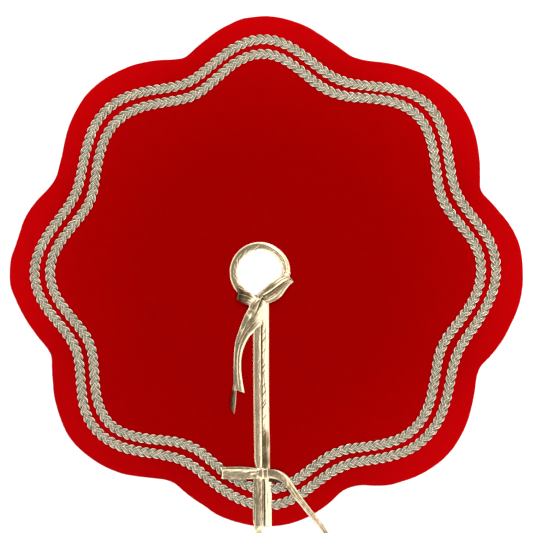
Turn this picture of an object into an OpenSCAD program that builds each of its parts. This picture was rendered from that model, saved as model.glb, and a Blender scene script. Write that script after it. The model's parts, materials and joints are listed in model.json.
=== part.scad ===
// Scalloped tree skirt, laid flat.
// Four quarters meet along one fold line running front to back and one running side to side,
// and the front two are parted by the slit. Origin at the centre of the trunk opening, at floor level.
// +Z up, -Y towards the slit. Millimetres.

/* [Outline] */
// Radius of the outline at the middle of each scallop
peak_r = 609.6; // [580:0.1:660]
// Radius of the outline at the bottom of the dips between scallops
valley_r = 548.5; // [545:0.1:552]
// Radius of the arc that forms each scallop
lobe_r = 237; // [220:1:240]
// Turn of the scallops about the centre, in degrees, counter-clockwise positive
scallop_turn = -1.4; // [-3:0.1:3]
// Distance from the trunk opening to the centre of the outline, along X
outline_shift = 17.6; // [0:0.1:25]

/* [Layers] */
// Thickness of the lining
lining_t = 0.8; // [0.6:0.1:1]
// Thickness of the interlining
interlining_t = 1.0; // [0.6:0.1:2]
// Thickness of the velvet, with its pile
velvet_t = 1.8; // [1:0.1:2.5]
// Width of the velvet turned under at the hem
hem_turn = 4; // [3:0.5:8]

/* [Neck and slit] */
// Radius of the trunk opening, inside the neck binding
neck_r = 54; // [45:0.5:60]
// Width of the ribbon that shows on each bound edge
binding_w = 18; // [16:0.5:18]
// Thickness of the folded ribbon of the bindings
binding_t = 1.2; // [0.8:0.1:1.5]
// Distance from the opening's centre to the slit, along X
slit_x = 3; // [2:0.5:4]
// Gap between the two bound edges of the slit
slit_gap = 3; // [2:0.5:4]

/* [Braid] */
// Mean radius of the outer row of braid
outer_row_r = 520.4; // [515:0.1:525]
// Mean radius of the inner row of braid
inner_row_r = 484.5; // [480:0.1:488]
// How far each row swings in and out with the scallops
row_wave = 28.2; // [25:0.1:30]
// Width of the braid
braid_w = 22; // [18:0.5:24]
// Height of the braid above the velvet
braid_t = 3; // [2:0.1:3.2]
// Distance from the trunk opening to the centre of the braid rows, along X
row_shift = 14.5; // [10:0.1:20]

/* [Ties] */
// Thickness of one lying ribbon tail
tail_t = 1.2; // [0.8:0.1:1.3]
// Top of the knots above the floor
knot_z = 15; // [12:0.5:16]
// Top of the neck bow's loops above the floor
neck_loop_z = 13; // [10:0.5:14]
// Top of the hem bow's loop above the floor
hem_loop_z = 11; // [9.5:0.5:13]

/* [Hidden] */

$fn = 96;
scallops = 8;
half_lobe = 180 / scallops;
big = 900;
seam = 0.15;                     // half of the gap along the fold lines
gap = 0.3;                       // air between loose pieces
z1 = lining_t;                   // bottom of the interlining
z2 = z1 + interlining_t;         // bottom of the velvet
z3 = z2 + velvet_t;              // top of the velvet
z4 = z3 + binding_t;             // top of the bindings
zb = z3 + braid_t;               // top of the braid
binding_under = lining_t;        // the bindings' lower flap lies level with the lining
fold_wall = 1.0;                 // ribbon round a bound edge
left_edge = slit_x - slit_gap / 2;
right_edge = slit_x + slit_gap / 2;
neck_out = neck_r + binding_w;

velvet_red = [0.68, 0.0, 0.02];
lining_red = [0.55, 0.04, 0.05];
interlining_white = [0.93, 0.92, 0.88];
braid_gold = [0.66, 0.60, 0.50];
ribbon_gold = [0.74, 0.67, 0.54];

// ---- outline: lobes and fillets that meet tangentially ----
// a: angle off the lobe's middle, i: how far inside the edge
function lobe_d() = peak_r - lobe_r;
function dip_r(i) = let (ra = lobe_r - i, rv = valley_r - i, d = lobe_d(), c = cos(half_lobe))
    (ra * ra - d * d - rv * rv + 2 * d * rv * c) / (2 * rv - 2 * d * c - 2 * ra);
function lobe_end(i) = let (rf = dip_r(i), ra = lobe_r - i, dd = valley_r - i + rf, d = lobe_d(),
    vx = dd * cos(half_lobe) - d, vy = dd * sin(half_lobe), k = ra / (ra + rf))
    atan2(vy * k, d + vx * k);
function edge_r(a, i) = let (d = lobe_d(), ra = lobe_r - i, rf = dip_r(i), dd = valley_r - i + rf, b = half_lobe - a)
    a <= lobe_end(i)
        ? d * cos(a) + sqrt(max(0, ra * ra - pow(d * sin(a), 2)))
        : dd * cos(b) - sqrt(max(0, rf * rf - pow(dd * sin(b), 2)));
function off_lobe(a) = let (m = a - 2 * half_lobe * floor(a / (2 * half_lobe) + 0.5)) abs(m);

module outline_2d(i = 0) {
    translate([outline_shift, 0])
        polygon([for (a = [0 : 1.5 : 358.5])
            let (r = edge_r(off_lobe(a), i)) [r * cos(a + scallop_turn), r * sin(a + scallop_turn)]]);
}

// ---- braid rows: smooth waves in step with the scallops ----
function row_r(a, mean) = mean + row_wave * cos(scallops * a);
module row_2d(mean) {
    translate([row_shift, 0]) difference() {
        polygon([for (a = [0 : 1.5 : 358.5]) let (r = row_r(a, mean) + braid_w / 2) [r * cos(a), r * sin(a)]]);
        polygon([for (a = [0 : 1.5 : 358.5]) let (r = row_r(a, mean) - braid_w / 2) [r * cos(a), r * sin(a)]]);
    }
}

// ---- regions of the four quarters; back: how far the slit's raw edge is set back ----
module back_right_2d() { translate([slit_x + seam, seam]) square(big); }
module back_left_2d() { translate([slit_x - seam - big, seam]) square(big); }
module front_left_2d(back = 0) { translate([left_edge - back - big, -seam - big]) square(big); }
module front_right_2d(back = 0) { translate([right_edge + back, -seam - big]) square(big); }

// one quarter of anything in the plane, q: 0 back right, 1 back left, 2 front left, 3 front right
module quarter_2d(q, back = 0) {
    if (q == 0) back_right_2d();
    if (q == 1) back_left_2d();
    if (q == 2) front_left_2d(back);
    if (q == 3) front_right_2d(back);
}

module cloth_2d(q, inset, hole, back) {
    difference() {
        intersection() { outline_2d(inset); quarter_2d(q, back); }
        circle(r = hole, $fn = 180);
    }
}

// ---- velvet face: upper skin, and the hem turned under round the scallops ----
module velvet(q) {
    color(velvet_red) {
        translate([0, 0, z2]) linear_extrude(velvet_t) cloth_2d(q, 0, neck_r + fold_wall + 0.1, fold_wall + 0.1);
        linear_extrude(z2) difference() {
            cloth_2d(q, 0, neck_r + fold_wall + 0.1, binding_w + 0.1);
            outline_2d(hem_turn);
        }
    }
}
module velvet_back_right() { velvet(0); }
module velvet_back_left() { velvet(1); }
module velvet_front_left() { velvet(2); }
module velvet_front_right() { velvet(3); }

// ---- interlining between the velvet and the lining ----
module interlining(q) {
    color(interlining_white) translate([0, 0, z1]) linear_extrude(interlining_t)
        cloth_2d(q, hem_turn + 0.1, neck_r + fold_wall + 0.1, fold_wall + 0.1);
}
module interlining_back_right() { interlining(0); }
module interlining_back_left() { interlining(1); }
module interlining_front_left() { interlining(2); }
module interlining_front_right() { interlining(3); }

// ---- lining, cut back to the bindings ----
module lining(q) {
    color(lining_red) linear_extrude(lining_t)
        cloth_2d(q, hem_turn + 0.1, neck_out + 0.1, binding_w + 0.1);
}
module lining_back_right() { lining(0); }
module lining_back_left() { lining(1); }
module lining_front_left() { lining(2); }
module lining_front_right() { lining(3); }

// ---- braid ----
module braid(q, mean) {
    color(braid_gold) translate([0, 0, z3]) linear_extrude(braid_t)
        intersection() { row_2d(mean); quarter_2d(q, binding_w + 0.1); }
}
module outer_braid_back_right() { braid(0, outer_row_r); }
module outer_braid_back_left() { braid(1, outer_row_r); }
module outer_braid_front_left() { braid(2, outer_row_r); }
module outer_braid_front_right() { braid(3, outer_row_r); }
module inner_braid_back_right() { braid(0, inner_row_r); }
module inner_braid_back_left() { braid(1, inner_row_r); }
module inner_braid_front_left() { braid(2, inner_row_r); }
module inner_braid_front_right() { braid(3, inner_row_r); }

// ---- neck binding: ribbon folded round the opening's raw edge ----
module quarter_block(q) {
    translate([0, 0, -1]) linear_extrude(20) quarter_2d(q);
}
module neck_binding(q) {
    color(ribbon_gold) intersection() {
        difference() {
            cylinder(r = neck_out, h = z4, $fn = 180);
            translate([0, 0, -1]) cylinder(r = neck_r, h = z4 + 2, $fn = 180);
            translate([0, 0, z1]) difference() {
                cylinder(r = neck_out + 1, h = z3 - z1, $fn = 180);
                translate([0, 0, -1]) cylinder(r = neck_r + fold_wall, h = z3 + 2, $fn = 180);
            }
        }
        quarter_block(q);
    }
}
module neck_binding_back_right() { neck_binding(0); }
module neck_binding_back_left() { neck_binding(1); }
module neck_binding_front_left() { neck_binding(2); }
module neck_binding_front_right() { neck_binding(3); }

// ---- slit bindings: ribbon folded round each raw edge of the slit ----
module slit_strip_2d(side, w) {
    difference() {
        intersection() {
            outline_2d(0.5);
            translate([side < 0 ? left_edge - w : right_edge, -big]) square([w, big]);
        }
        circle(r = neck_out + 0.2, $fn = 180);
    }
}
module slit_binding(side) {
    color(ribbon_gold) {
        linear_extrude(z1) slit_strip_2d(side, binding_w);
        translate([0, 0, z3]) linear_extrude(binding_t) slit_strip_2d(side, binding_w);
        linear_extrude(z4) slit_strip_2d(side, fold_wall);
    }
}
module slit_binding_left() { slit_binding(-1); }
module slit_binding_right() { slit_binding(1); }

// ---- ties: a strip of ribbon along a path of [x, y, width] ----
function heading(p, i) = let (a = p[max(i - 1, 0)], b = p[min(i + 1, len(p) - 1)]) atan2(b[1] - a[1], b[0] - a[0]);
function strip_side(p, s) = [for (i = [0 : len(p) - 1]) let (t = heading(p, i), h = s * p[i][2] / 2)
    [p[i][0] - h * sin(t), p[i][1] + h * cos(t)]];
function flip(v) = [for (i = [len(v) - 1 : -1 : 0]) v[i]];
function strip(p) = concat(strip_side(p, 1), flip(strip_side(p, -1)));

// everything on the left of the slit rides with the left quarter, everything on the right with the right one
module left_of_slit() { translate([slit_x - gap - big, -big]) square([big, big - seam]); }
module right_of_slit() { translate([slit_x + gap, -big]) square([big, big - seam]); }
module below(y) { translate([-big / 2, y - big]) square(big); }

neck_knot_top = -56;
neck_knot_low = -84;
hem_knot_top = -463;
hem_knot_low = -493;
knot_left = -9;
neck_knot_right_x = 15;
hem_knot_right_x = 19;

rear_path = [[-8, -80, 20], [-20, -94, 20], [-33, -115, 20], [-45, -141, 19], [-54, -172, 17], [-58, -205, 15],
    [-59, -242, 14], [-60, -276, 13], [-62, -304, 11], [-63, -331, 8]];
front_path = [[13, -70, 22], [11, -86, 22], [4, -104, 22], [-14, -125, 20], [-32, -144, 18], [-44, -169, 16],
    [-49, -197, 15], [-51, -225, 15], [-49, -253, 16], [-46, -282, 18]];
right_path = [[16, -477, 21], [38, -480, 20], [55, -491, 20], [71, -510, 19], [86, -532, 18], [102, -558, 18],
    [121, -580, 17], [142, -601, 16], [157, -620, 15], [171, -642, 15], [183, -665, 15]];
down_path = [[-6.8, -480, 19], [-6.8, -520, 19], [-6.8, -560, 19], [-6.8, -600, 19], [-6.6, -640, 18], [-6.2, -682, 17]];

module neck_loop_left() {
    color(ribbon_gold) translate([0, 0, z4 + gap]) linear_extrude(neck_loop_z - z4 - gap)
        polygon([[knot_left - gap, -57], [-17, -56], [-49, -45], [-57, -62], [-27, -79], [knot_left - gap, -80]]);
}
module neck_loop_right() {
    color(ribbon_gold) translate([0, 0, z4 + gap]) linear_extrude(neck_loop_z - z4 - gap) polygon([
        [slit_x + gap, -42], [11, -34], [30, -23], [50, -14], [55, -4], [73, -4], [81, -20],
        [58, -43], [40, -62], [25, -74], [neck_knot_right_x + gap, -76], [neck_knot_right_x + gap, neck_knot_top + gap],
        [slit_x + gap, neck_knot_top + gap]]);
}
module knot(x0, x1, y0, y1) {
    color(ribbon_gold) translate([x0, y0, z4 + gap]) cube([x1 - x0, y1 - y0, knot_z - z4 - gap]);
}
module neck_knot_left() { knot(knot_left, slit_x - gap, neck_knot_low, neck_knot_top); }
module neck_knot_right() { knot(slit_x + gap, neck_knot_right_x, neck_knot_low, neck_knot_top); }
module neck_tail_rear() {
    color(ribbon_gold) translate([0, 0, z4 + gap]) linear_extrude(tail_t)
        intersection() { polygon(strip(rear_path)); below(neck_knot_low - gap); }
}
module front_tail_2d() {
    intersection() { polygon(strip(front_path)); below(neck_knot_low - gap); }
}
module neck_tail_front() {
    color(ribbon_gold) translate([0, 0, z4 + 2 * gap + tail_t]) linear_extrude(tail_t)
        intersection() { front_tail_2d(); left_of_slit(); }
}
module neck_tail_root() {
    color(ribbon_gold) translate([0, 0, z4 + 2 * gap + tail_t]) linear_extrude(tail_t)
        intersection() { front_tail_2d(); right_of_slit(); }
}

module hem_loop_left() {
    color(ribbon_gold) translate([0, 0, zb + gap]) linear_extrude(hem_loop_z - zb - gap)
        polygon([[knot_left - gap, -464], [-50, -463], [-90, -465], [-91, -487], [-50, -489], [knot_left - gap, -489]]);
}
module hem_knot_left() { knot(knot_left, slit_x - gap, hem_knot_low, hem_knot_top); }
module hem_knot_right() { knot(slit_x + gap, hem_knot_right_x, hem_knot_low, hem_knot_top); }

// A tail that lies on the skirt, drops over the hem and ends on the floor.
// The part over the skirt is cut at the outline grown by the drop's clearance.
module over_skirt_2d(p) { intersection() { polygon(strip(p)); outline_2d(-2.5); } }
module past_skirt_2d(p, i) { difference() { polygon(strip(p)); outline_2d(-i); } }
module draped_tail(p, z) {
    translate([0, 0, z]) linear_extrude(tail_t) over_skirt_2d(p);
    linear_extrude(z + tail_t) intersection() { past_skirt_2d(p, 1); outline_2d(-2.5); }
    linear_extrude(tail_t) past_skirt_2d(p, 2.4);
}
module hem_tail_down() {
    color(ribbon_gold) intersection() {
        draped_tail(down_path, z4 + gap);
        translate([0, 0, -1]) linear_extrude(40) intersection() { below(hem_knot_low - gap); left_of_slit(); }
    }
}
module hem_tail_right() {
    color(ribbon_gold) intersection() {
        draped_tail(right_path, zb + gap);
        translate([hem_knot_right_x + gap, -big, -1]) cube([big, big, 40]);
    }
}

velvet_back_right();
velvet_back_left();
velvet_front_left();
velvet_front_right();
interlining_back_right();
interlining_back_left();
interlining_front_left();
interlining_front_right();
lining_back_right();
lining_back_left();
lining_front_left();
lining_front_right();
outer_braid_back_right();
outer_braid_back_left();
outer_braid_front_left();
outer_braid_front_right();
inner_braid_back_right();
inner_braid_back_left();
inner_braid_front_left();
inner_braid_front_right();
neck_binding_back_right();
neck_binding_back_left();
neck_binding_front_left();
neck_binding_front_right();
slit_binding_left();
slit_binding_right();
neck_loop_left();
neck_knot_left();
neck_tail_rear();
neck_tail_front();
neck_loop_right();
neck_knot_right();
neck_tail_root();
hem_loop_left();
hem_knot_left();
hem_tail_down();
hem_knot_right();
hem_tail_right();
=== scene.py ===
import json
import math

import bmesh
import bpy
import numpy as np
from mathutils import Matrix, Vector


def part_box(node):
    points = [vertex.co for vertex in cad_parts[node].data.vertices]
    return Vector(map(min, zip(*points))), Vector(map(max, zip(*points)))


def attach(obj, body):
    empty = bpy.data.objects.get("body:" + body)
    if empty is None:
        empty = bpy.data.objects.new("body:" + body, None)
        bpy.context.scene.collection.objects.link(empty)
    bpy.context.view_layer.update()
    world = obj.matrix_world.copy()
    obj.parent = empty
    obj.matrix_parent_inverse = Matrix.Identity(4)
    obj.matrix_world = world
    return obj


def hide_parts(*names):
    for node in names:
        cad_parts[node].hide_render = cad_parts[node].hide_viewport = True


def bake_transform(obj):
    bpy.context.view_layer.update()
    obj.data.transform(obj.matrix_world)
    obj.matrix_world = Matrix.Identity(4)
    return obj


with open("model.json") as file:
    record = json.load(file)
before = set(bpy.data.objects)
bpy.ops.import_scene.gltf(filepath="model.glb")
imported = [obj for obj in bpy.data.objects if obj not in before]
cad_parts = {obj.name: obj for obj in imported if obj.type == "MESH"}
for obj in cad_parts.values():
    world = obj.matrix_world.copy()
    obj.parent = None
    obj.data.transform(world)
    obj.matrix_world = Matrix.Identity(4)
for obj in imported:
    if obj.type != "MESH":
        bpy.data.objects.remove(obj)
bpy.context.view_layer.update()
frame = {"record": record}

# ------------------------------------------------------------------ numbers from the frame, in millimetres
REC = frame["record"]
JOINTS = {j["name"]: j for j in REC["behaviour"]["joints"]}
FX = JOINTS["half_fold"]["pos_m"][0] * 1000.0            # slit and front-to-back fold line
NECK_R = [m for m in REC["mounts"] if m["name"] == "trunk_opening"][0]["dims"]["r_mm"]
Z1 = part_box("lining_back_right")[1].z * 1000.0           # top of the lining
Z2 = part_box("interlining_back_right")[1].z * 1000.0      # underside of the velvet
Z3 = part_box("velvet_back_right")[1].z * 1000.0           # top of the velvet
Z4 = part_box("neck_binding_back_right")[1].z * 1000.0     # top of the bindings
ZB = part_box("outer_braid_back_right")[1].z * 1000.0      # top of the braid
LEFT_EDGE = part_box("slit_binding_left")[1].x * 1000.0
RIGHT_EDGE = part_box("slit_binding_right")[0].x * 1000.0
BIND_W = (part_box("slit_binding_right")[1].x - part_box("slit_binding_right")[0].x) * 1000.0

CX = 17.6            # centre of the scalloped outline, along X
PEAK, VALLEY, LOBE, TURN = 609.6, 548.5, 237.0, -1.4
HALF = 22.5
ROW_CX, OUTER_ROW, INNER_ROW, ROW_WAVE, BRAID_W = 14.5, 520.4, 484.5, 28.2, 22.6
QUARTERS = ["back_right", "back_left", "front_left", "front_right"]


# ------------------------------------------------------------------ helpers
def vnoise(x, y, seed=0):
    """Smooth value noise in 0..1 on a unit lattice."""
    x, y = np.broadcast_arrays(np.asarray(x, float), np.asarray(y, float))
    xi, yi = np.floor(x).astype(np.int64), np.floor(y).astype(np.int64)
    xf, yf = x - xi, y - yi

    def h(i, j):
        n = (i * 374761393 + j * 668265263 + seed * 144269504) & 0xFFFFFFFF
        n = ((n ^ (n >> 13)) * 1274126177) & 0xFFFFFFFF
        return ((n ^ (n >> 16)) & 0xFFFF) / 65535.0

    u, v = xf * xf * (3 - 2 * xf), yf * yf * (3 - 2 * yf)
    return (h(xi, yi) * (1 - u) + h(xi + 1, yi) * u) * (1 - v) + (h(xi, yi + 1) * (1 - u) + h(xi + 1, yi + 1) * u) * v


def smooth(t, a, b):
    t = np.clip((np.asarray(t, float) - a) / (b - a), 0, 1)
    return t * t * (3 - 2 * t)


def edge_r(a, i=0.0):
    """Radius of the outline about its own centre, i inside the edge, at a degrees off a scallop's middle."""
    a = np.radians(np.abs((np.asarray(a, float) + HALF) % (2 * HALF) - HALF))
    h = math.radians(HALF)
    d, ra, rv = PEAK - LOBE, LOBE - i, VALLEY - i
    c = math.cos(h)
    rf = (ra * ra - rv * rv - d * d + 2 * d * rv * c) / (2 * rv - 2 * d * c - 2 * ra)
    dd = rv + rf
    k = ra / (ra + rf)
    end = math.atan2(dd * math.sin(h) * k, d + (dd * c - d) * k)
    b = h - a
    lobe = d * np.cos(a) + np.sqrt(np.maximum(ra * ra - (d * np.sin(a)) ** 2, 0))
    dip = dd * np.cos(b) - np.sqrt(np.maximum(rf * rf - (dd * np.sin(b)) ** 2, 0))
    return np.where(a <= end, lobe, dip)


# the hem is not cut quite true, and the braid is not laid quite true: millimetres out from the drawn line, every 3 degrees for the hem and every 7.5 for the braid
HEM_LIE = [-1.6, 0.3, 2.3, 2.0, 0.5, -0.4, 0.9, -4.1, 0.0, -1.6, -2.3, -1.6, -0.6, 0.9, 1.9, 1.0, 0.6, 1.3, 0.7, 2.2, 5.2, 9.2, 5.8, -0.9,
           -7.8, -11.4, -10.9, -8.2, -5.6, -2.0, 0.8, 2.1, 4.1, 2.7, 2.4, 2.3, 4.6, -0.1, 1.3, -1.4, -3.8, -5.0, -6.2, -5.7, -5.5, -5.3, -7.1, -8.4,
           -8.4, -8.6, -6.2, 1.1, 3.0, 4.0, 2.5, 1.1, -0.8, -4.7, -4.1, 1.5, 3.3, 4.9, 0.6, -1.4, -1.7, -0.5, 2.5, 2.1, 7.1, 4.2, 3.7, 2.3,
           2.9, 5.1, 4.4, 2.1, -0.3, -1.9, -3.4, -6.0, -6.5, -2.5, -0.6, 2.8, -2.6, -7.0, -5.6, -6.3, -6.4, -6.1, -5.5, -4.8, -4.0, -3.3, -2.7, -2.1,
           -1.3, -0.5, 0.2, 0.7, 1.1, -0.8, -1.1, -0.9, 0.3, 0.5, -0.9, -2.0, -2.7, -2.6, -0.5, 3.7, 6.0, 10.7, 6.8, 2.8, -0.5, -1.2, -0.7, -1.1]
OUTER_LIE = [-2.6, 2.8, 2.0, -1.5, -2.1, -1.2, 4.1, 7.1, 4.4, -2.3, -5.7, -1.1, 5.1, 6.1, 1.6, -4.0, -2.9, -4.8, -7.8, -6.8, -3.0, -2.3, -0.5, 0.0,
             1.2, 0.4, -4.1, -4.6, 2.3, 6.6, 0.6, -5.1, -7.1, -3.6, 4.5, 5.0, 4.5, 3.2, 1.5, 2.8, 6.2, 2.9, -3.9, -3.6, -0.3, 1.4, 3.0, -1.8]
INNER_LIE = [-2.3, 2.1, -0.2, -2.5, -2.3, -1.7, 4.3, 8.7, 7.8, 0.7, -5.8, -2.1, 6.4, 7.7, 2.9, -1.8, -2.4, -5.6, -8.3, -6.9, -3.3, -4.4, -3.1, -1.2,
             0.3, -0.8, -3.7, -3.9, 1.2, 5.4, 3.3, -4.9, -8.6, -5.6, 0.7, 2.2, 1.8, 0.8, 0.5, 3.3, 7.0, 4.8, -2.5, -6.1, -4.2, -2.5, 0.1, -2.0]


def lie(table, deg):
    """A smooth closed curve through a table of evenly spaced values."""
    c = np.asarray(table, float)
    k = len(c)
    u = (np.asarray(deg, float) / (360.0 / k)) % k
    i = np.floor(u).astype(int)
    f = u - i
    w = ((-f + 2 * f**2 - f**3) / 2, (2 - 5 * f**2 + 3 * f**3) / 2, (f + 4 * f**2 - 3 * f**3) / 2, (-f**2 + f**3) / 2)
    return sum(w[j] * c[(i - 1 + j) % k] for j in range(4))


def lay(X, Y, side):
    """The slit's two sides do not lie quite straight: they drift to the right towards the hem. side is -1 or 1."""
    d = -Y
    if side < 0:
        g = 2.5 * smooth(d, 150, 450)
        k = np.clip(FX - X, 0, None)
    else:
        g = 0.8 * smooth(d, 150, 450) + 6.0 * smooth(d, 452, 512)
        k = np.clip(X - FX, 0, None)
    return X + g * np.exp(-(k / 60.0) ** 2)


def ray_to_outline(px, th, inset=0.0):
    """Distance from (px, 0) to the outline along the rays th (radians)."""
    r = np.full_like(th, 600.0)
    for _ in range(14):
        x, y = px + r * np.cos(th) - CX, r * np.sin(th)
        a = np.degrees(np.arctan2(y, x))
        r += edge_r(a - TURN, inset) + lie(HEM_LIE, a) - np.hypot(x, y)
    return r


def dip(deg):
    """The opening's edge hangs a little lower just left of the slit."""
    return 5.5 * np.exp(-((np.asarray(deg, float) - 257.0) / 8.5) ** 2)


def ray_to_circle(px, th, rad):
    b = px * np.cos(th)
    return -b + np.sqrt(b * b - px * px + rad * rad) + dip(np.degrees(th) - 3.0) * (px < 0) * (rad < NECK_R + 3)


def ground(x, y, creases=True):
    """How far the cloth stands off its flat place: slight waves near the hem, and the pressed creases."""
    x, y = np.asarray(x, float), np.asarray(y, float)
    r, th = np.hypot(x - CX, y), np.arctan2(y, x - CX)
    w = smooth(r, 200, 590)
    u = 0.9 * w * (0.5 + 0.5 * np.sin(5 * th + 1.1 + r / 130.0)) * (0.5 + 0.5 * np.sin(3 * th - 0.7))
    u += 0.55 * smooth(r, 90, 260) * vnoise(x / 95.0 + 7.3, y / 95.0 + 1.7, 3)
    u += 0.22 * smooth(r, 90, 200) * vnoise(x / 34.0, y / 34.0, 5)
    if creases:
        def ridge(d, s):
            return np.exp(-(d / s) ** 2)
        jig = 1.6 * (vnoise(y / 60.0, 0.0 * y, 11) - 0.5)
        u += 0.55 * ridge(x - 12.0 + jig, 3.2) * smooth(y, 90, 150) * (0.6 + 0.4 * vnoise(y / 45.0, 0 * y, 12))
        jig = 2.0 * (vnoise(x / 70.0, 0.0 * x, 13) - 0.5)
        u += 0.5 * ridge(y - 10.0 + jig, 3.2) * smooth(-x, 110, 170) * (0.6 + 0.4 * vnoise(x / 45.0, 0 * x, 14))
        u += 0.85 * ridge(y + 30.0 + jig, 3.4) * smooth(x, 250, 380)
    return u


def new_mesh(name, V, faces, mat=None, attrs=None, flat=2, scale=0.001):
    """A mesh object from points in millimetres and a list of index arrays, each (n, k). The first flat arrays are the flat ends."""
    V = np.asarray(V, float) * scale
    me = bpy.data.meshes.new(name)
    faces = [np.asarray(f, np.int64) for f in faces if len(f)]
    counts = np.concatenate([np.full(len(f), f.shape[1]) for f in faces])
    loops = np.concatenate([f.ravel() for f in faces])
    starts = np.concatenate([[0], np.cumsum(counts)[:-1]])
    me.vertices.add(len(V))
    me.vertices.foreach_set("co", V.astype(np.float32).ravel())
    me.loops.add(len(loops))
    me.loops.foreach_set("vertex_index", loops.astype(np.int32))
    me.polygons.add(len(counts))
    me.polygons.foreach_set("loop_start", starts.astype(np.int32))
    me.polygons.foreach_set("loop_total", counts.astype(np.int32))
    me.update(calc_edges=True)
    me.validate(clean_customdata=False)
    soft = np.ones(len(me.polygons), bool)
    soft[:sum(len(f) for f in faces[:flat])] = False
    me.polygons.foreach_set("use_smooth", soft)
    for key, (kind, data) in (attrs or {}).items():
        at = me.attributes.new(key, kind, "POINT")
        data = np.asarray(data, np.float32)
        at.data.foreach_set("vector" if kind == "FLOAT_VECTOR" else "value", data.ravel())
    ob = bpy.data.objects.new(name, me)
    bpy.context.scene.collection.objects.link(ob)
    if mat is not None:
        me.materials.append(mat)
    return ob


def grid_faces(n, m, close_m=False, start=0, flip=False):
    """Quads over n by m points laid out row by row."""
    i, j = np.meshgrid(np.arange(n - 1), np.arange(m if close_m else m - 1), indexing="ij")
    j2 = (j + 1) % m
    f = np.stack([i * m + j, (i + 1) * m + j, (i + 1) * m + j2, i * m + j2], -1).reshape(-1, 4) + start
    return f[:, ::-1] if flip else f


def loop_solid(P, flip=False):
    """P is (n, m, 3): n closed loops of m points. Returns points and faces of a capped solid."""
    n, m = P.shape[:2]
    V = P.reshape(-1, 3)
    q = grid_faces(n, m, True, flip=flip)
    a = np.arange(m)
    c0, c1 = a[None, :], (a + (n - 1) * m)[None, ::-1]
    if flip:
        c0, c1 = c0[:, ::-1], c1[:, ::-1]
    return V, [c0, c1, q]


def strip_solid(top, bottom, flip=False):
    """Two (n, m, 3) sheets, joined round their edges into one closed thin solid."""
    n, m = top.shape[:2]
    P = np.concatenate([top, bottom[:, ::-1]], axis=1)          # loop across the width
    V = P.reshape(-1, 3)
    q = grid_faces(n, 2 * m, True, flip=flip)
    # the two ends, as quads between top and bottom
    k = np.arange(m - 1)
    e0 = np.stack([k, k + 1, 2 * m - 2 - k, 2 * m - 1 - k], -1)
    e1 = (e0 + (n - 1) * 2 * m)[:, ::-1]
    if flip:
        e0, e1 = e0[:, ::-1], e1[:, ::-1]
    return V, [e0, e1, q]


# ------------------------------------------------------------------ materials
def mat(name):
    m = bpy.data.materials.new(name)
    m.use_nodes = True
    nt = m.node_tree
    nt.nodes.clear()
    out = nt.nodes.new("ShaderNodeOutputMaterial")
    bs = nt.nodes.new("ShaderNodeBsdfPrincipled")
    nt.links.new(bs.outputs[0], out.inputs[0])
    return m, nt, bs


def attr(nt, name, out="Vector"):
    a = nt.nodes.new("ShaderNodeAttribute")
    a.attribute_name = name
    return a.outputs[out]


def node(nt, kind, **kw):
    n = nt.nodes.new(kind)
    for k, v in kw.items():
        setattr(n, k, v)
    return n


def math_node(nt, op, a, b=None, c=None, clamp=False):
    n = node(nt, "ShaderNodeMath", operation=op, use_clamp=clamp)
    for i, v in enumerate((a, b, c)):
        if v is None:
            continue
        if hasattr(v, "links"):
            nt.links.new(v, n.inputs[i])
        else:
            n.inputs[i].default_value = v
    return n.outputs[0]


def vec_scale(nt, v, s):
    n = node(nt, "ShaderNodeVectorMath", operation="MULTIPLY")
    nt.links.new(v, n.inputs[0])
    n.inputs[1].default_value = s if hasattr(s, "__len__") else (s, s, s)
    return n.outputs[0]


def noise(nt, v, scale, detail=2.0, rough=0.5):
    n = node(nt, "ShaderNodeTexNoise")
    nt.links.new(v, n.inputs["Vector"])
    n.inputs["Scale"].default_value = scale
    n.inputs["Detail"].default_value = detail
    n.inputs["Roughness"].default_value = rough
    return n.outputs["Fac"]


def ramp(nt, fac, stops, mode="LINEAR"):
    n = node(nt, "ShaderNodeValToRGB")
    n.color_ramp.interpolation = mode
    el = n.color_ramp.elements
    while len(el) > 1:
        el.remove(el[-1])
    el[0].position, el[0].color = stops[0][0], (*stops[0][1], 1)
    for p, c in stops[1:]:
        e = el.new(p)
        e.color = (*c, 1)
    nt.links.new(fac, n.inputs["Fac"])
    return n.outputs["Color"]


def map_range(nt, v, a, b, c, d):
    n = node(nt, "ShaderNodeMapRange")
    nt.links.new(v, n.inputs["Value"])
    for k, x in zip(("From Min", "From Max", "To Min", "To Max"), (a, b, c, d)):
        n.inputs[k].default_value = x
    return n.outputs["Result"]


def mix_mul(nt, colour, fac):
    """colour times a grey factor"""
    n = node(nt, "ShaderNodeVectorMath", operation="SCALE")
    nt.links.new(colour, n.inputs[0])
    nt.links.new(fac, n.inputs["Scale"])
    return n.outputs[0]


def bump(nt, height, strength, distance, normal=None):
    n = node(nt, "ShaderNodeBump")
    n.inputs["Strength"].default_value = strength
    n.inputs["Distance"].default_value = distance
    nt.links.new(height, n.inputs["Height"])
    if normal is not None:
        nt.links.new(normal, n.inputs["Normal"])
    return n.outputs["Normal"]


RING = 2.6       # radiance of the tent's bright ring
LIGHT = 1.86     # what the light does to flat velvet, for turning seen colours into base colours


def seen(r, g, b, k=LIGHT):
    def lin(c):
        c /= 255.0
        return c / 12.92 if c <= 0.04045 else ((c + 0.055) / 1.055) ** 2.4
    return tuple(lin(c) / k for c in (r, g, b))


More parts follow.
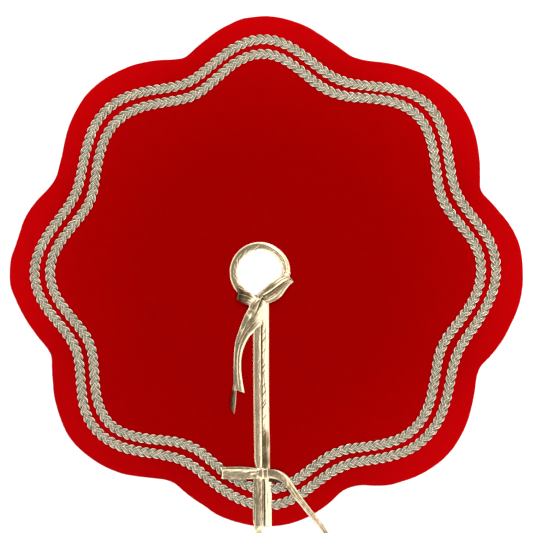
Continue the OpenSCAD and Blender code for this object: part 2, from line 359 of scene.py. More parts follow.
def velvet_material():
    m, nt, bs = mat("red_velvet")
    rc = attr(nt, "rest_mm")
    # distance from the skirt's middle, for painted light that brightens the red towards the rim
    sub = node(nt, "ShaderNodeVectorMath", operation="SUBTRACT")
    nt.links.new(rc, sub.inputs[0])
    sub.inputs[1].default_value = (CX, 0, 0)
    flat = vec_scale(nt, sub.outputs[0], (1, 1, 0))
    ln = node(nt, "ShaderNodeVectorMath", operation="LENGTH")
    nt.links.new(flat, ln.inputs[0])
    r = ln.outputs["Value"]
    wob = noise(nt, vec_scale(nt, rc, 1.0), 0.006, 2.0)
    r2 = math_node(nt, "ADD", r, math_node(nt, "MULTIPLY", math_node(nt, "SUBTRACT", wob, 0.5), 34.0))
    t = map_range(nt, r2, 0.0, 620.0, 0.0, 1.0)
    # painted light: the red lightens from the middle out to the rim, standing for light that falls brighter towards the
    # rim
    stops = [(0.0, seen(159, 0, 0)), (0.46, seen(159, 0, 0)), (0.54, seen(162, 0, 0)), (0.65, seen(167, 0, 0)),
             (0.73, seen(170, 0, 1)), (0.80, seen(176, 0, 2)), (0.845, seen(184, 1, 4)), (0.885, seen(191, 1, 5)),
             (0.96, seen(199, 2, 6)), (1.0, seen(203, 2, 7))]
    velvet_red_and_painted_rim_light = ramp(nt, t, stops)
    # painted shade: the velvet darkens towards the bottom and a little to the left, away from the light
    side_shade_dot = node(nt, "ShaderNodeVectorMath", operation="DOT_PRODUCT")
    nt.links.new(rc, side_shade_dot.inputs[0])
    side_shade_dot.inputs[1].default_value = (-0.342 / 600, -0.94 / 600, 0)
    painted_side_shade = map_range(nt, side_shade_dot.outputs["Value"], 0.42, 1.0, 1.0, 0.83)
    crush = noise(nt, rc, 0.045, 3.0, 0.55)
    pile = noise(nt, rc, 1.15, 2.0, 0.6)
    fine = noise(nt, rc, 3.2, 1.0, 0.5)
    k = math_node(nt, "ADD", map_range(nt, crush, 0.25, 0.75, -0.035, 0.035), map_range(nt, pile, 0.25, 0.75, 0.955, 1.045))
    nt.links.new(mix_mul(nt, velvet_red_and_painted_rim_light, math_node(nt, "MULTIPLY", k, painted_side_shade)), bs.inputs["Base Color"])
    nt.links.new(map_range(nt, crush, 0.3, 0.7, 0.78, 0.9), bs.inputs["Roughness"])
    bs.inputs["Specular IOR Level"].default_value = 0.0
    bs.inputs["Sheen Weight"].default_value = 0.35
    bs.inputs["Sheen Roughness"].default_value = 0.38
    bs.inputs["Sheen Tint"].default_value = (1.0, 0.09, 0.10, 1)
    h = math_node(nt, "ADD", math_node(nt, "MULTIPLY", pile, 0.6), math_node(nt, "MULTIPLY", fine, 0.4))
    nt.links.new(bump(nt, h, 0.35, 0.0006), bs.inputs["Normal"])
    return m


def woven_material(name, colour, pitch, rough, strength=0.3, spec=0.25, sheen=0.0):
    """Plain weave: warp and weft threads, with slubs."""
    m, nt, bs = mat(name)
    rc = attr(nt, "rest_mm")
    sep = node(nt, "ShaderNodeSeparateXYZ")
    nt.links.new(rc, sep.inputs[0])
    k = math.pi / pitch
    sx = math_node(nt, "SINE", math_node(nt, "MULTIPLY", sep.outputs[0], k))
    sy = math_node(nt, "SINE", math_node(nt, "MULTIPLY", sep.outputs[1], k))
    weave = math_node(nt, "ADD", math_node(nt, "MULTIPLY", math_node(nt, "MULTIPLY", sx, sy), 0.5), 0.5)
    slub = noise(nt, vec_scale(nt, rc, (0.9, 0.09, 1)), 1.0, 3.0)
    broad = noise(nt, rc, 0.02, 2.0)
    f = math_node(nt, "ADD", map_range(nt, weave, 0, 1, 0.86, 1.04), map_range(nt, slub, 0.3, 0.7, -0.06, 0.06))
    f = math_node(nt, "ADD", f, map_range(nt, broad, 0.3, 0.7, -0.04, 0.04))
    c = node(nt, "ShaderNodeRGB")
    c.outputs[0].default_value = (*colour, 1)
    nt.links.new(mix_mul(nt, c.outputs[0], f), bs.inputs["Base Color"])
    nt.links.new(map_range(nt, slub, 0.3, 0.7, rough - 0.05, rough + 0.08), bs.inputs["Roughness"])
    bs.inputs["Specular IOR Level"].default_value = spec
    if sheen:
        bs.inputs["Sheen Weight"].default_value = sheen
        bs.inputs["Sheen Roughness"].default_value = 0.4
    h = math_node(nt, "ADD", weave, math_node(nt, "MULTIPLY", slub, 0.5))
    nt.links.new(bump(nt, h, strength, 0.0004), bs.inputs["Normal"])
    return m


def fibre_material():
    m, nt, bs = mat("interlining_felt")
    rc = attr(nt, "rest_mm")
    a = noise(nt, vec_scale(nt, rc, (0.7, 0.12, 1)), 1.0, 4.0, 0.65)
    b = noise(nt, vec_scale(nt, rc, (0.12, 0.7, 1)), 1.3, 4.0, 0.65)
    k = math_node(nt, "MULTIPLY", a, b)
    nt.links.new(ramp(nt, k, [(0.1, (0.55, 0.53, 0.48)), (0.4, (0.85, 0.83, 0.78))]), bs.inputs["Base Color"])
    nt.links.new(map_range(nt, a, 0.3, 0.7, 0.85, 0.98), bs.inputs["Roughness"])
    nt.links.new(bump(nt, k, 0.5, 0.0006), bs.inputs["Normal"])
    return m


def ribbon_material(name="champagne_ribbon", tone=1.0):
    """Metallic satin ribbon: fine weft ribs across it, slight crinkle, and thin patches; painted shade and painted
    highlight come from the third value of ribbon_mm.
    """
    m, nt, bs = mat(name)
    uv = attr(nt, "ribbon_mm")          # along and across in millimetres, then painted shade, negative for painted highlight
    sep = node(nt, "ShaderNodeSeparateXYZ")
    nt.links.new(uv, sep.inputs[0])
    ribs = math_node(nt, "SINE", math_node(nt, "MULTIPLY", sep.outputs[0], 2 * math.pi / 0.62))
    warp = math_node(nt, "SINE", math_node(nt, "MULTIPLY", sep.outputs[1], 2 * math.pi / 0.48))
    weave = math_node(nt, "MULTIPLY", ribs, warp)
    crink = noise(nt, vec_scale(nt, uv, (0.06, 0.22, 1)), 1.0, 1.6, 0.45)
    speck = noise(nt, uv, 1.7, 2.0, 0.7)
    c = ramp(nt, crink, [(0.25, (0.475 * tone, 0.365 * tone, 0.205 * tone)), (0.55, (0.545 * tone, 0.43 * tone, 0.255 * tone)),
                         (0.8, (0.61 * tone, 0.50 * tone, 0.32 * tone))])
    f = math_node(nt, "ADD", map_range(nt, weave, -1, 1, 0.94, 1.03), map_range(nt, speck, 0.3, 0.7, -0.03, 0.03))
    # painted shade and painted highlight: the third value darkens or lightens the colour
    f = math_node(nt, "MULTIPLY", f, map_range(nt, sep.outputs[2], -1.0, 1.0, 1.85, 0.15))
    # where shade is painted the colour is browner as well as darker, and the coat thins there, so little gloss is left
    shade_paint = node(nt, "ShaderNodeCombineXYZ")
    shade_paint.inputs[0].default_value = 1.0
    nt.links.new(map_range(nt, sep.outputs[2], 0.0, 1.0, 1.0, 0.80), shade_paint.inputs[1])
    nt.links.new(map_range(nt, sep.outputs[2], 0.0, 1.0, 1.0, 0.55), shade_paint.inputs[2])
    tint = node(nt, "ShaderNodeVectorMath", operation="MULTIPLY")
    nt.links.new(mix_mul(nt, c, f), tint.inputs[0])
    nt.links.new(shade_paint.outputs[0], tint.inputs[1])
    nt.links.new(tint.outputs[0], bs.inputs["Base Color"])
    nt.links.new(map_range(nt, sep.outputs[2], 0.0, 0.8, 1.0, 0.12), bs.inputs["Coat Weight"])
    bs.inputs["Coat IOR"].default_value = 1.9
    bs.inputs["Coat Roughness"].default_value = 0.2
    bs.inputs["Metallic"].default_value = 0.88
    nt.links.new(map_range(nt, crink, 0.3, 0.75, 0.30, 0.22), bs.inputs["Roughness"])
    h = math_node(nt, "ADD", math_node(nt, "MULTIPLY", weave, 0.02), math_node(nt, "MULTIPLY", crink, 0.95))
    nt.links.new(bump(nt, h, 0.5, 0.001), bs.inputs["Normal"])
    return m


def cord_material():
    """Gimp cord: a metallic foil wrapped round a core, so fine slanting ribs; painted glints at random, and painted
    shade and highlight by cord and by crossing.
    """
    m, nt, bs = mat("metallic_gimp")
    cu = attr(nt, "cord_mm")            # along, round (0..1), which cord (0..1)
    sep = node(nt, "ShaderNodeSeparateXYZ")
    nt.links.new(cu, sep.inputs[0])
    shade_paint = attr(nt, "over", "Fac")
    ph = math_node(nt, "ADD", math_node(nt, "MULTIPLY", sep.outputs[0], 2 * math.pi / 0.75), math_node(nt, "MULTIPLY", sep.outputs[1], 2 * math.pi))
    ribs = math_node(nt, "SINE", ph)
    # painted glints: random bright and dull spots in the colour, with the roughness following them
    painted_glint_and_gloss = noise(nt, vec_scale(nt, cu, (0.30, 2.0, 9.0)), 1.0, 2.0, 0.6)
    # painted highlight on each strand's two outer cords and painted shade on the cords between: lit and shaded copies
    # of one gimp
    base = ramp(nt, sep.outputs[2], [(0.0, (1.0, 0.91, 0.70)), (0.25, (0.20, 0.165, 0.10)), (0.5, (0.68, 0.60, 0.43)), (0.75, (0.17, 0.14, 0.085)), (1.0, (1.0, 0.91, 0.70))])
    f = math_node(nt, "ADD", map_range(nt, ribs, -1, 1, 0.72, 1.08), map_range(nt, painted_glint_and_gloss, 0.32, 0.70, -0.50, 0.45))
    # painted shade where a strand dives under at a crossing, and painted highlight towards the braid's outer edges,
    # from the plait's attribute
    f = math_node(nt, "MULTIPLY", f, map_range(nt, shade_paint, 0.0, 1.0, 0.05, 1.22))
    nt.links.new(mix_mul(nt, base, f), bs.inputs["Base Color"])
    bs.inputs["Metallic"].default_value = 0.75
    nt.links.new(map_range(nt, painted_glint_and_gloss, 0.3, 0.7, 0.38, 0.20), bs.inputs["Roughness"])
    nt.links.new(bump(nt, ribs, 0.4, 0.00012), bs.inputs["Normal"])
    return m


def thread_material(name, colour):
    m, nt, bs = mat(name)
    cu = attr(nt, "cord_mm")
    sep = node(nt, "ShaderNodeSeparateXYZ")
    nt.links.new(cu, sep.inputs[0])
    ph = math_node(nt, "ADD", math_node(nt, "MULTIPLY", sep.outputs[0], 2 * math.pi / 0.5), math_node(nt, "MULTIPLY", sep.outputs[1], 2 * math.pi))
    tw = math_node(nt, "SINE", ph)
    c = node(nt, "ShaderNodeRGB")
    c.outputs[0].default_value = (*colour, 1)
    nt.links.new(mix_mul(nt, c.outputs[0], map_range(nt, tw, -1, 1, 0.7, 1.1)), bs.inputs["Base Color"])
    nt.links.new(map_range(nt, tw, -1, 1, 0.5, 0.65), bs.inputs["Roughness"])
    return m


VELVET = velvet_material()
LINING = woven_material("red_lining", seen(120, 8, 14), 0.55, 0.6, 0.3, 0.25, 0.1)
FELT = fibre_material()
RIBBON = ribbon_material()
CORD = cord_material()
GOLD_THREAD = thread_material("gold_thread", (0.42, 0.31, 0.17))
# near black: painted shade for the holes in the braid
HOLE_SHADE_THREAD = thread_material("braid_hole_shade", (0.035, 0.026, 0.018))


# ------------------------------------------------------------------ camera, light, floor
def scene_setup():
    sc = bpy.context.scene
    sc.view_settings.view_transform = "Standard"
    sc.view_settings.look = "None"
    cam = bpy.data.cameras.new("camera")
    cam_ob = bpy.data.objects.new("camera", cam)
    sc.collection.objects.link(cam_ob)
    cam.sensor_width = 36.0
    height, wide = 2.9, 1.2685
    cam.lens = 36.0 * height / wide
    cam_ob.location = (0.0155, 0.0143, height)
    cam_ob.rotation_euler = (0, 0, 0)
    cam.clip_end = 100
    sc.camera = cam_ob

    # a sky that is dim overhead, bright in a ring round it and dark at the horizon, as a soft light tent is
    w = bpy.data.worlds.new("tent")
    sc.world = w
    w.use_nodes = True
    nt = w.node_tree
    nt.nodes.clear()
    out = nt.nodes.new("ShaderNodeOutputWorld")
    bg = nt.nodes.new("ShaderNodeBackground")
    tc = nt.nodes.new("ShaderNodeTexCoord")
    sep = nt.nodes.new("ShaderNodeSeparateXYZ")
    nt.links.new(tc.outputs["Generated"], sep.inputs[0])
    up = math_node(nt, "MAXIMUM", sep.outputs[2], 0.0)
    ring = ramp(nt, up, [(0.0, (0.9, 0.9, 0.9)), (0.05, (0.28, 0.28, 0.28)), (0.16, (0.30, 0.30, 0.30)), (0.36, (1.0, 1.0, 1.0)), (1.0, (1.0, 1.0, 1.0))], "EASE")
    dot = node(nt, "ShaderNodeVectorMath", operation="DOT_PRODUCT")
    nt.links.new(tc.outputs["Generated"], dot.inputs[0])
    dot.inputs[1].default_value = (-0.21, 0.07, 0.975)
    cap = ramp(nt, math_node(nt, "MAXIMUM", dot.outputs["Value"], 0.0), [(0.0, (1, 1, 1)), (0.73, (1, 1, 1)), (0.87, (0.11, 0.11, 0.11)), (1.0, (0.075, 0.075, 0.075))], "EASE")
    mul = node(nt, "ShaderNodeVectorMath", operation="MULTIPLY")
    nt.links.new(ring, mul.inputs[0])
    nt.links.new(cap, mul.inputs[1])
    nt.links.new(mul.outputs[0], bg.inputs["Color"])
    bg.inputs["Strength"].default_value = RING
    nt.links.new(bg.outputs[0], out.inputs[0])

    def area(name, loc, size, power):
        li = bpy.data.lights.new(name, "AREA")
        li.size = size
        li.energy = power
        ob = bpy.data.objects.new(name, li)
        sc.collection.objects.link(ob)
        ob.location = loc
        d = -np.array(loc, float)
        ob.rotation_mode = "QUATERNION"
        from mathutils import Vector
        ob.rotation_quaternion = Vector(d).to_track_quat("-Z", "Y")
        ob.visible_camera = False
        return ob

    area("key", (1.2, 2.3, 2.3), 0.8, 40)

    me = bpy.data.meshes.new("floor")
    bm = bmesh.new()
    bmesh.ops.create_grid(bm, x_segments=8, y_segments=8, size=8.0)
    bm.to_mesh(me)
    bm.free()
    fl = bpy.data.objects.new("floor", me)
    sc.collection.objects.link(fl)
    m, nt, bs = mat("pale_floor")
    tcn = node(nt, "ShaderNodeTexCoord")
    n = noise(nt, tcn.outputs["Object"], 3.0, 3.0)
    nt.links.new(ramp(nt, n, [(0.3, (0.93, 0.93, 0.93)), (0.7, (0.95, 0.95, 0.95))]), bs.inputs["Base Color"])
    bs.inputs["Roughness"].default_value = 0.9
    bs.inputs["Specular IOR Level"].default_value = 0.1
    me.materials.append(m)
    fl.location.z = -0.0003


scene_setup()


# ------------------------------------------------------------------ cloth layers, quarter by quarter
def held(v, e):
    """The stations v with one more just inside each end."""
    d = e if v[-1] > v[0] else -e
    return np.concatenate([v[:1], v[:1] + d, v[1:-1], v[-1:] - d, v[-1:]])


def quarter_rays(q, n, close=0.6):
    """Rays across a quarter, closer together beside the fold lines, where the cloth has to bend."""
    t = np.linspace(0.0, 1.0, n + 1)
    t = t - close * np.sin(2 * np.pi * t) / (2 * np.pi)
    return held(np.radians(90.0 * q + 90.0 * t), 1.2e-4)


def pole(q, back):
    """The corner that a quarter's rays start from: the fold lines' crossing, or a front quarter's raw slit edge."""
    if q == 2:
        return LEFT_EDGE - back
    if q == 3:
        return RIGHT_EDGE + back
    return FX


def poly_area(x, y):
    return 0.5 * abs(np.dot(x, np.roll(y, -1)) - np.dot(y, np.roll(x, -1)))


AREAS = {}


def cloth_area(q, inset, hole, back):
    th = quarter_rays(q, 300)
    px = pole(q, back)
    ro, ri = ray_to_outline(px, th, inset), ray_to_circle(px, th, hole)
    x = np.concatenate([px + ro * np.cos(th), (px + ri * np.cos(th))[::-1]])
    y = np.concatenate([ro * np.sin(th), (ri * np.sin(th))[::-1]])
    return poly_area(x, y) * 1e-6


def velvet_quarter(q):
    n, m = 190, 112
    th = quarter_rays(q, n, 0.7)
    px = pole(q, 1.1)
    # the turned edge is not quite true
    wob = 0.7 * (vnoise(th * 16.0, 0 * th, 21) - 0.5) + 0.35 * (vnoise(th * 60.0, 0 * th, 22) - 0.5)
    ro, ri = ray_to_outline(px, th) + wob * smooth(np.minimum(np.abs(th - th[0]), np.abs(th - th[-1])), 0, 0.05), ray_to_circle(px, th, NECK_R + 1.15)
    rr, zz, low = [], [], []
    rtop = ro - 2.6
    for s in np.linspace(0, 1, m):
        rr.append(ri + (rtop - ri) * s)
        zz.append(np.full_like(ro, Z3))
        low.append(False)
    for ph in np.radians(np.linspace(90, -90, 11)[1:]):
        rr.append(rtop + 2.6 * math.cos(ph) ** 0.9 if math.cos(ph) > 1e-9 else rtop)
        zz.append(np.full_like(ro, Z3 / 2 + (Z3 / 2 - 0.06) * math.sin(ph)))
        low.append(False)
    for s in (3.0, 6.0, 9.5):
        rr.append(rtop - s)
        zz.append(np.full_like(ro, 0.06))
        low.append(True)
    rr.append(rtop - 10.0)
    zz.append(np.full_like(ro, Z2))
    low.append(True)
    for s in np.linspace(1, 0, 29)[1:]:
        rr.append(ri + (rtop - 10.0 - ri) * s)
        zz.append(np.full_like(ro, Z2 + 0.02))
        low.append(True)
    R, Z = np.stack(rr, 1), np.stack(zz, 1)
    X, Y = px + R * np.cos(th)[:, None], R * np.sin(th)[:, None]
    if q > 1:
        X = lay(X, Y, -1 if q == 2 else 1)
    u = ground(X, Y)
    ub = ground(X, Y, False)
    lowm = np.array(low)[None, :]
    # the hem stands off a little less than the field, and its roll swells and thins
    dist = ro[:, None] - R
    U = np.where(lowm, ub, u)
    top = (~lowm) & (Z > Z3 - 0.01)
    roll = 0.35 * np.exp(-((dist - 5.0) / 4.5) ** 2) * (0.4 + 0.9 * vnoise(np.degrees(th)[:, None] / 3.0, 0 * R, 31))
    dip = -0.38 * np.exp(-((dist - 12.5) / 2.4) ** 2) * (0.5 + 0.8 * vnoise(np.degrees(th)[:, None] / 2.0, 0 * R, 33))
    Zf = Z + U * smooth(Z, 0.0, 0.5) + np.where(top, roll + dip, 0.0)
    Zf = np.maximum(Zf, 0.02)
    P = np.stack([X, Y, Zf], -1)
    V, F = loop_solid(P)
    ob = new_mesh("velvet_" + QUARTERS[q] + "_cloth", V, F, VELVET, attrs={"rest_mm": ("FLOAT_VECTOR", V)})
    fix_normals(ob)
    return ob


def fix_normals(ob):
    """Faces point outwards."""
    me = ob.data
    bm = bmesh.new()
    bm.from_mesh(me)
    v = bm.calc_volume(signed=True)
    if v < 0:
        bmesh.ops.reverse_faces(bm, faces=bm.faces)
        bm.to_mesh(me)
    bm.free()
    me.update()


def flat_quarter(q, name, material, inset, hole, back, z0, z1, n, m, pressed=0.0):
    """A plain layer: top at z1 and underside at z0; pressed thinner along the fold lines."""
    th = quarter_rays(q, n, 0.8)
    px = pole(q, back)
    ro, ri = ray_to_outline(px, th, inset), ray_to_circle(px, th, hole)
    s = np.linspace(0, 1, m)[None, :]
    R = ri[:, None] + (ro - ri)[:, None] * s
    X, Y = px + R * np.cos(th)[:, None], R * np.sin(th)[:, None]
    if q > 1:
        X = lay(X, Y, -1 if q == 2 else 1)
    u = ground(X, Y, False)
    off = np.minimum(np.abs(Y), np.abs(X - FX) + (1000.0 if q > 1 else 0.0))
    thin = pressed * (1 - smooth(off, 48, 70))
    top = np.stack([X, Y, z1 - thin + u], -1)
    bot = np.stack([X, Y, np.maximum(z0 + thin + u * 0.9, 0.02)], -1)
    V, F = strip_solid(top, bot)
    ob = new_mesh(name, V, F, material, attrs={"rest_mm": ("FLOAT_VECTOR", V)})
    fix_normals(ob)
    return ob


def follow(ob, q, kind):
    """Places a quarter's piece: the back-right one is attached to the back_right body, the others have their transform
    baked where they are.
    """
    if q == 0:
        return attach(ob, "back_right")
    if q == 1:
        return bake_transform(ob)
    if q == 2:
        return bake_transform(ob)
    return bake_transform(ob)


velvets, linings, felts = [], [], []
for q in range(4):
    name = QUARTERS[q]
    v = velvet_quarter(q)
    follow(v, q, "cloth")
    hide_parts("velvet_" + name)
    velvets.append(v)
    l = flat_quarter(q, "lining_" + name + "_cloth", LINING, 9.2, NECK_R + BIND_W + 0.3, BIND_W + 0.3, 0.10, Z1 - 0.04, 150, 44)
    follow(l, q, "cloth")
    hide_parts("lining_" + name)
    linings.append(l)
    f = flat_quarter(q, "interlining_" + name + "_cloth", FELT, 11.0, NECK_R + 2.0, 2.0, Z1 + 0.06, Z2 - 0.08, 150, 44, 0.27)
    follow(f, q, "cloth")
    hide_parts("interlining_" + name)
    felts.append(f)


# ------------------------------------------------------------------ braid: three flat strands of four gimp cords, plaited
PITCH = 17.4 * 3          # a strand's whole swing; each side shows one bump per third of it
CORD_R, CORD_GAP, CORDS = 0.76, 1.46, 5


def braid_row(mean, tag, table):
    phi = np.radians(np.linspace(-90.0, 270.0, 14401))
    r = mean + ROW_WAVE * np.cos(8 * phi) + lie(table, np.degrees(phi))
    x, y = ROW_CX + r * np.cos(phi), r * np.sin(phi)
    x = np.where(y < 0, np.where(x < FX, lay(x, y, -1), lay(x, y, 1)), x)
    keep_end = BIND_W - 1.4
    ok0 = np.argmax(x > lay(np.array([RIGHT_EDGE]), np.array([-mean]), 1)[0] + keep_end)
    ok1 = len(x) - 1 - np.argmax(x[::-1] < lay(np.array([LEFT_EDGE]), np.array([-mean]), -1)[0] - keep_end)
    x, y = x[ok0:ok1 + 1], y[ok0:ok1 + 1]
    ds = np.hypot(np.diff(x), np.diff(y))
    s = np.concatenate([[0], np.cumsum(ds)])
    # where the row crosses the fold lines: the +X line, then front-to-back line, then the -X line
    cuts = [0.0]
    up = y > 0
    cuts.append(s[np.argmax(up)])
    cuts.append(s[np.argmax(up & (x < FX))])
    later = np.arange(len(x)) > np.argmax(up & (x < FX))
    cuts.append(s[np.argmax(later & (y < 0))])
    cuts.append(s[-1])
    periods = round(s[-1] / PITCH)
    pitch = s[-1] / periods
    made = []
    for q, (a, b) in zip((3, 0, 1, 2), zip(cuts[:-1], cuts[1:])):
        n = int(round((b - a) / 2.15))
        sv = held(np.linspace(a, b, n + 1), 0.05)
        px, py = np.interp(sv, s, x), np.interp(sv, s, y)
        e = 0.5
        tx, ty = np.interp(sv + e, s, x) - np.interp(sv - e, s, x), np.interp(sv + e, s, y) - np.interp(sv - e, s, y)
        L = np.hypot(tx, ty)
        tx, ty = tx / L, ty / L
        # at the very ends one sided differences still give a direction
        nx, ny = ty, -tx                     # outwards
        A = (BRAID_W - CORDS * CORD_GAP) / 2 + 0.2
        allV, allF, allA, all_painted_shade, base = [], [], [], [], 0
        end_d = np.minimum(sv, s[-1] - sv)
        for k in range(3):
            t = 2 * np.pi * sv / pitch + 2 * np.pi * k / 3
            slip = 0.35 * (vnoise(sv / 26.0, 0 * sv, 40 + k) - 0.5)
            lat = A * (np.sin(t) - np.sin(3 * t) / 11.0) / 1.09 * (1 + 0.06 * (vnoise(sv / 31.0, 0 * sv, 50 + k) - 0.5)) + slip
            dlat = A * (np.cos(t) - 3 * np.cos(3 * t) / 11.0) / 1.09 * 2 * np.pi / pitch
            al = np.arctan(dlat)
            zc = Z3 + CORD_R + 0.30 + 0.80 * (1 + np.sin(2 * t))
            zc = zc - (zc - Z3 - CORD_R) * 0.75 * (1 - smooth(end_d, 1.0, 9.0))
            for c in range(CORDS):
                o = (c - (CORDS - 1) / 2) * CORD_GAP
                # at a bump the cords fan out a little
                o = o * (1 + 0.06 * np.abs(np.sin(t)))
                ds_ = -o * np.sin(al)
                dl_ = lat + o * np.cos(al)
                cxp = px + tx * ds_ + nx * dl_
                cyp = py + ty * ds_ + ny * dl_
                czp = zc + 0.10 * np.cos(c * 2.1 + sv / 9.0) + ground(cxp, cyp)
                C = np.stack([cxp, cyp, czp], 1)
                T = np.gradient(C, axis=0)
                T[0], T[1], T[-1], T[-2] = T[2], T[2], T[-3], T[-3]
                T /= np.linalg.norm(T, axis=1)[:, None]
                up = np.array([0, 0, 1.0])
                W = np.cross(up, T)
                W /= np.linalg.norm(W, axis=1)[:, None]
                N = np.cross(T, W)
                ang = np.arange(6) * (2 * np.pi / 6)
                rad = CORD_R * (1 + 0.05 * np.sin(sv / 3.1 + c))[:, None, None]
                ring = C[:, None, :] + rad * (np.cos(ang)[None, :, None] * W[:, None, :] + np.sin(ang)[None, :, None] * N[:, None, :])
                V, F = loop_solid(ring)
                allV.append(V)
                allF.append([f + base for f in F])
                base += len(V)
                along = np.repeat(sv * 1.2, 6)
                rnd = np.tile(ang / (2 * np.pi), len(sv))
                allA.append(np.stack([along, rnd, np.full_like(along, c / (CORDS - 1))], 1))
                # painted shade at each crossing where this strand dives under, and painted highlight towards the
                # braid's outer edges
                gap_ = (2 * t - 1.5 * np.pi + np.pi) % (2 * np.pi) - np.pi
                rim_ = smooth(np.abs(dl_) / (BRAID_W / 2), 0.50, 0.86)
                all_painted_shade.append(np.repeat((1 - 0.99 * np.exp(-(gap_ / 1.12) ** 2)) * (0.66 + 0.34 * rim_), 6))
        cord_len = float(np.linalg.norm(np.diff(C, axis=0), axis=1).sum())
        F = [np.concatenate([f[i] for f in allF]) for i in range(3)]
        V = np.concatenate(allV)
        # a flat near-black cord under the strands: painted shade, standing for the shade in the holes between them
        half = np.array([-3.6, -3.2, 0.0, 3.2, 3.6, 3.2, 0.0, -3.2])
        hz = np.array([0.2, 0.42, 0.46, 0.42, 0.2, 0.03, 0.03, 0.03])
        bx = px[:, None] + nx[:, None] * half[None, :]
        by = py[:, None] + ny[:, None] * half[None, :]
        bz = Z3 + hz[None, :] + ground(bx, by)
        bV, bF = loop_solid(np.stack([bx, by, bz], -1))
        hole_shade_cord = new_mesh(tag + "_" + QUARTERS[q] + "_braid_hole_shade", bV, bF, HOLE_SHADE_THREAD, attrs={"cord_mm": ("FLOAT_VECTOR", np.stack([np.repeat(sv, 8), np.tile(half, len(sv)), 0 * np.repeat(sv, 8)], 1))})
        fix_normals(hole_shade_cord)
        follow(hole_shade_cord, q, "trim")
        ob = new_mesh(tag + "_" + QUARTERS[q] + "_plait", V, F, CORD, flat=2 * 1, attrs={"cord_mm": ("FLOAT_VECTOR", np.concatenate(allA)), "over": ("FLOAT", np.concatenate(all_painted_shade))})
        fix_normals(ob)
        follow(ob, q, "trim")
        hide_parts(tag + "_" + QUARTERS[q])
        made.append((q, ob))
    return made


braids = {q: [] for q in range(4)}
for mean, tag, table in ((OUTER_ROW, "outer_braid", OUTER_LIE), (INNER_ROW, "inner_braid", INNER_LIE)):
    for q, ob in braid_row(mean, tag, table):
        braids[q].append(ob)


# ------------------------------------------------------------------ bindings: ribbon folded round an edge
def binding_profile(s, w, crown, lean, wr_seed, pucker=None, creases=(), fold_dark=0.0, rim=0.0, roll=0.0, inner_light=None):
    """Section of a folded ribbon at stations s (mm along): (n, m) distances from the fold's outer face, heights, and
    painted shade (negative for painted light).
    """
    n = len(s)
    vt = np.concatenate([[1.0, 0.985, 0.955], np.linspace(0.92, 0.12, 20), [0.07, 0.035, 0.012]])
    A = np.broadcast_to(w[:, None] * vt[None, :], (n, len(vt)))
    v = (2 * vt - 1)[None, :]
    top = Z3 + 0.34 + crown[:, None] * (1 - np.abs(v) ** 2.2) + lean[:, None] * (1 - vt)[None, :] * smooth(vt, 0.0, 0.14)[None, :]
    drift = 0.5 * (vnoise(s[:, None] / 41.0, 0 * A, wr_seed + 5) - 0.5)
    ridge = 0.34 * np.exp(-(((v - 0.12 - drift) / 0.16) ** 2)) * (0.2 + vnoise(s[:, None] / 37.0, 0 * A, wr_seed + 6))
    soft = 0.30 * (vnoise(s[:, None] / 6.5 + A / 9.0, A / 6.0, wr_seed) - 0.5) + 0.55 * (vnoise(s[:, None] / 27.0, A / 6.5 + 3.1, wr_seed + 1) - 0.5)
    edge_in = (smooth(vt, 0.0, 0.2) * smooth(1 - vt, 0.0, 0.22))[None, :]
    top = top + (soft + ridge) * edge_in
    dark = np.zeros_like(top)
    if pucker is not None:
        # gathers slanting away from the fold, where the ribbon is sewn round the edge
        pitch = 10.5
        t = (s[:, None] + 1.1 * A) / pitch + 1.3 * (vnoise(s[:, None] / 31.0, 0 * A, wr_seed + 2) - 0.5)
        f = np.abs(t - np.round(t)) * pitch
        k = vnoise(np.round(t) * 1.7, 0 * t, wr_seed + 3)
        g = (0.35 + k) * (1 - smooth(A, 4.0 + 5.0 * k, 8.0 + 6.0 * k)) * smooth(A, 0.0, 1.2) * smooth(pucker, 0.0, 0.7)[:, None]
        top = top - 0.75 * g * np.exp(-((f / 0.95) ** 2))
        # painted shade along the floor of each gather
        dark = 0.85 * np.clip(g, 0, 1) * np.exp(-((f / 0.75) ** 2))
    # single creases that run away from the fold
    for s0, k in creases:
        f = np.abs(s[:, None] + 1.7 * A - s0) / 1.97
        g = k * (1 - smooth(A, 6.5, 11.0))
        top = top - 0.7 * g * np.exp(-((f / 0.9) ** 2))
        # painted shade along the crease's floor
        dark = np.maximum(dark, 0.9 * g * np.exp(-((f / 0.7) ** 2)))
    # painted shade along the fold, and painted light along the edge far from it
    dark = dark + fold_dark * (1 - smooth(A, 1.5, 3.0)) - rim * smooth(vt, 0.88, 0.93)[None, :]
    # painted light on the half nearest the fold
    if inner_light is not None:
        dark = dark - inner_light[:, None] * (1 - smooth(vt, 0.40, 0.72))[None, :] * (1 - np.clip(dark, 0, 1))
    top = top + roll * (1 - smooth(vt, 0.86, 0.985)[None, :])
    # round the fold
    zt = top[:, -1]
    mid, hh = (zt + 0.12) / 2, (zt - 0.12) / 2
    ph = np.radians(np.linspace(80, -80, 9))
    fa = np.broadcast_to(w[:, None] * 0.012 * (1 - np.cos(ph))[None, :], (n, len(ph)))
    fz = mid[:, None] + hh[:, None] * np.sin(ph)[None, :]
    fb = w[:, None] * 0.012 * np.ones_like(ph)[None, :] - 0.9 * np.cos(ph)[None, :] * np.ones((n, 1)) * 0.9
    vb = np.concatenate([[0.03, 0.08], np.linspace(0.2, 0.95, 7), [0.985, 1.0]])
    ba = w[:, None] * vb[None, :]
    bz = np.full((n, len(vb)), 0.08)
    outer_a = np.concatenate([A, fb, ba], 1)
    outer_z = np.concatenate([top, fz, bz], 1)
    return outer_a, outer_z, np.concatenate([dark, np.full((n, len(ph)), fold_dark), np.zeros((n, len(vb)))], 1)


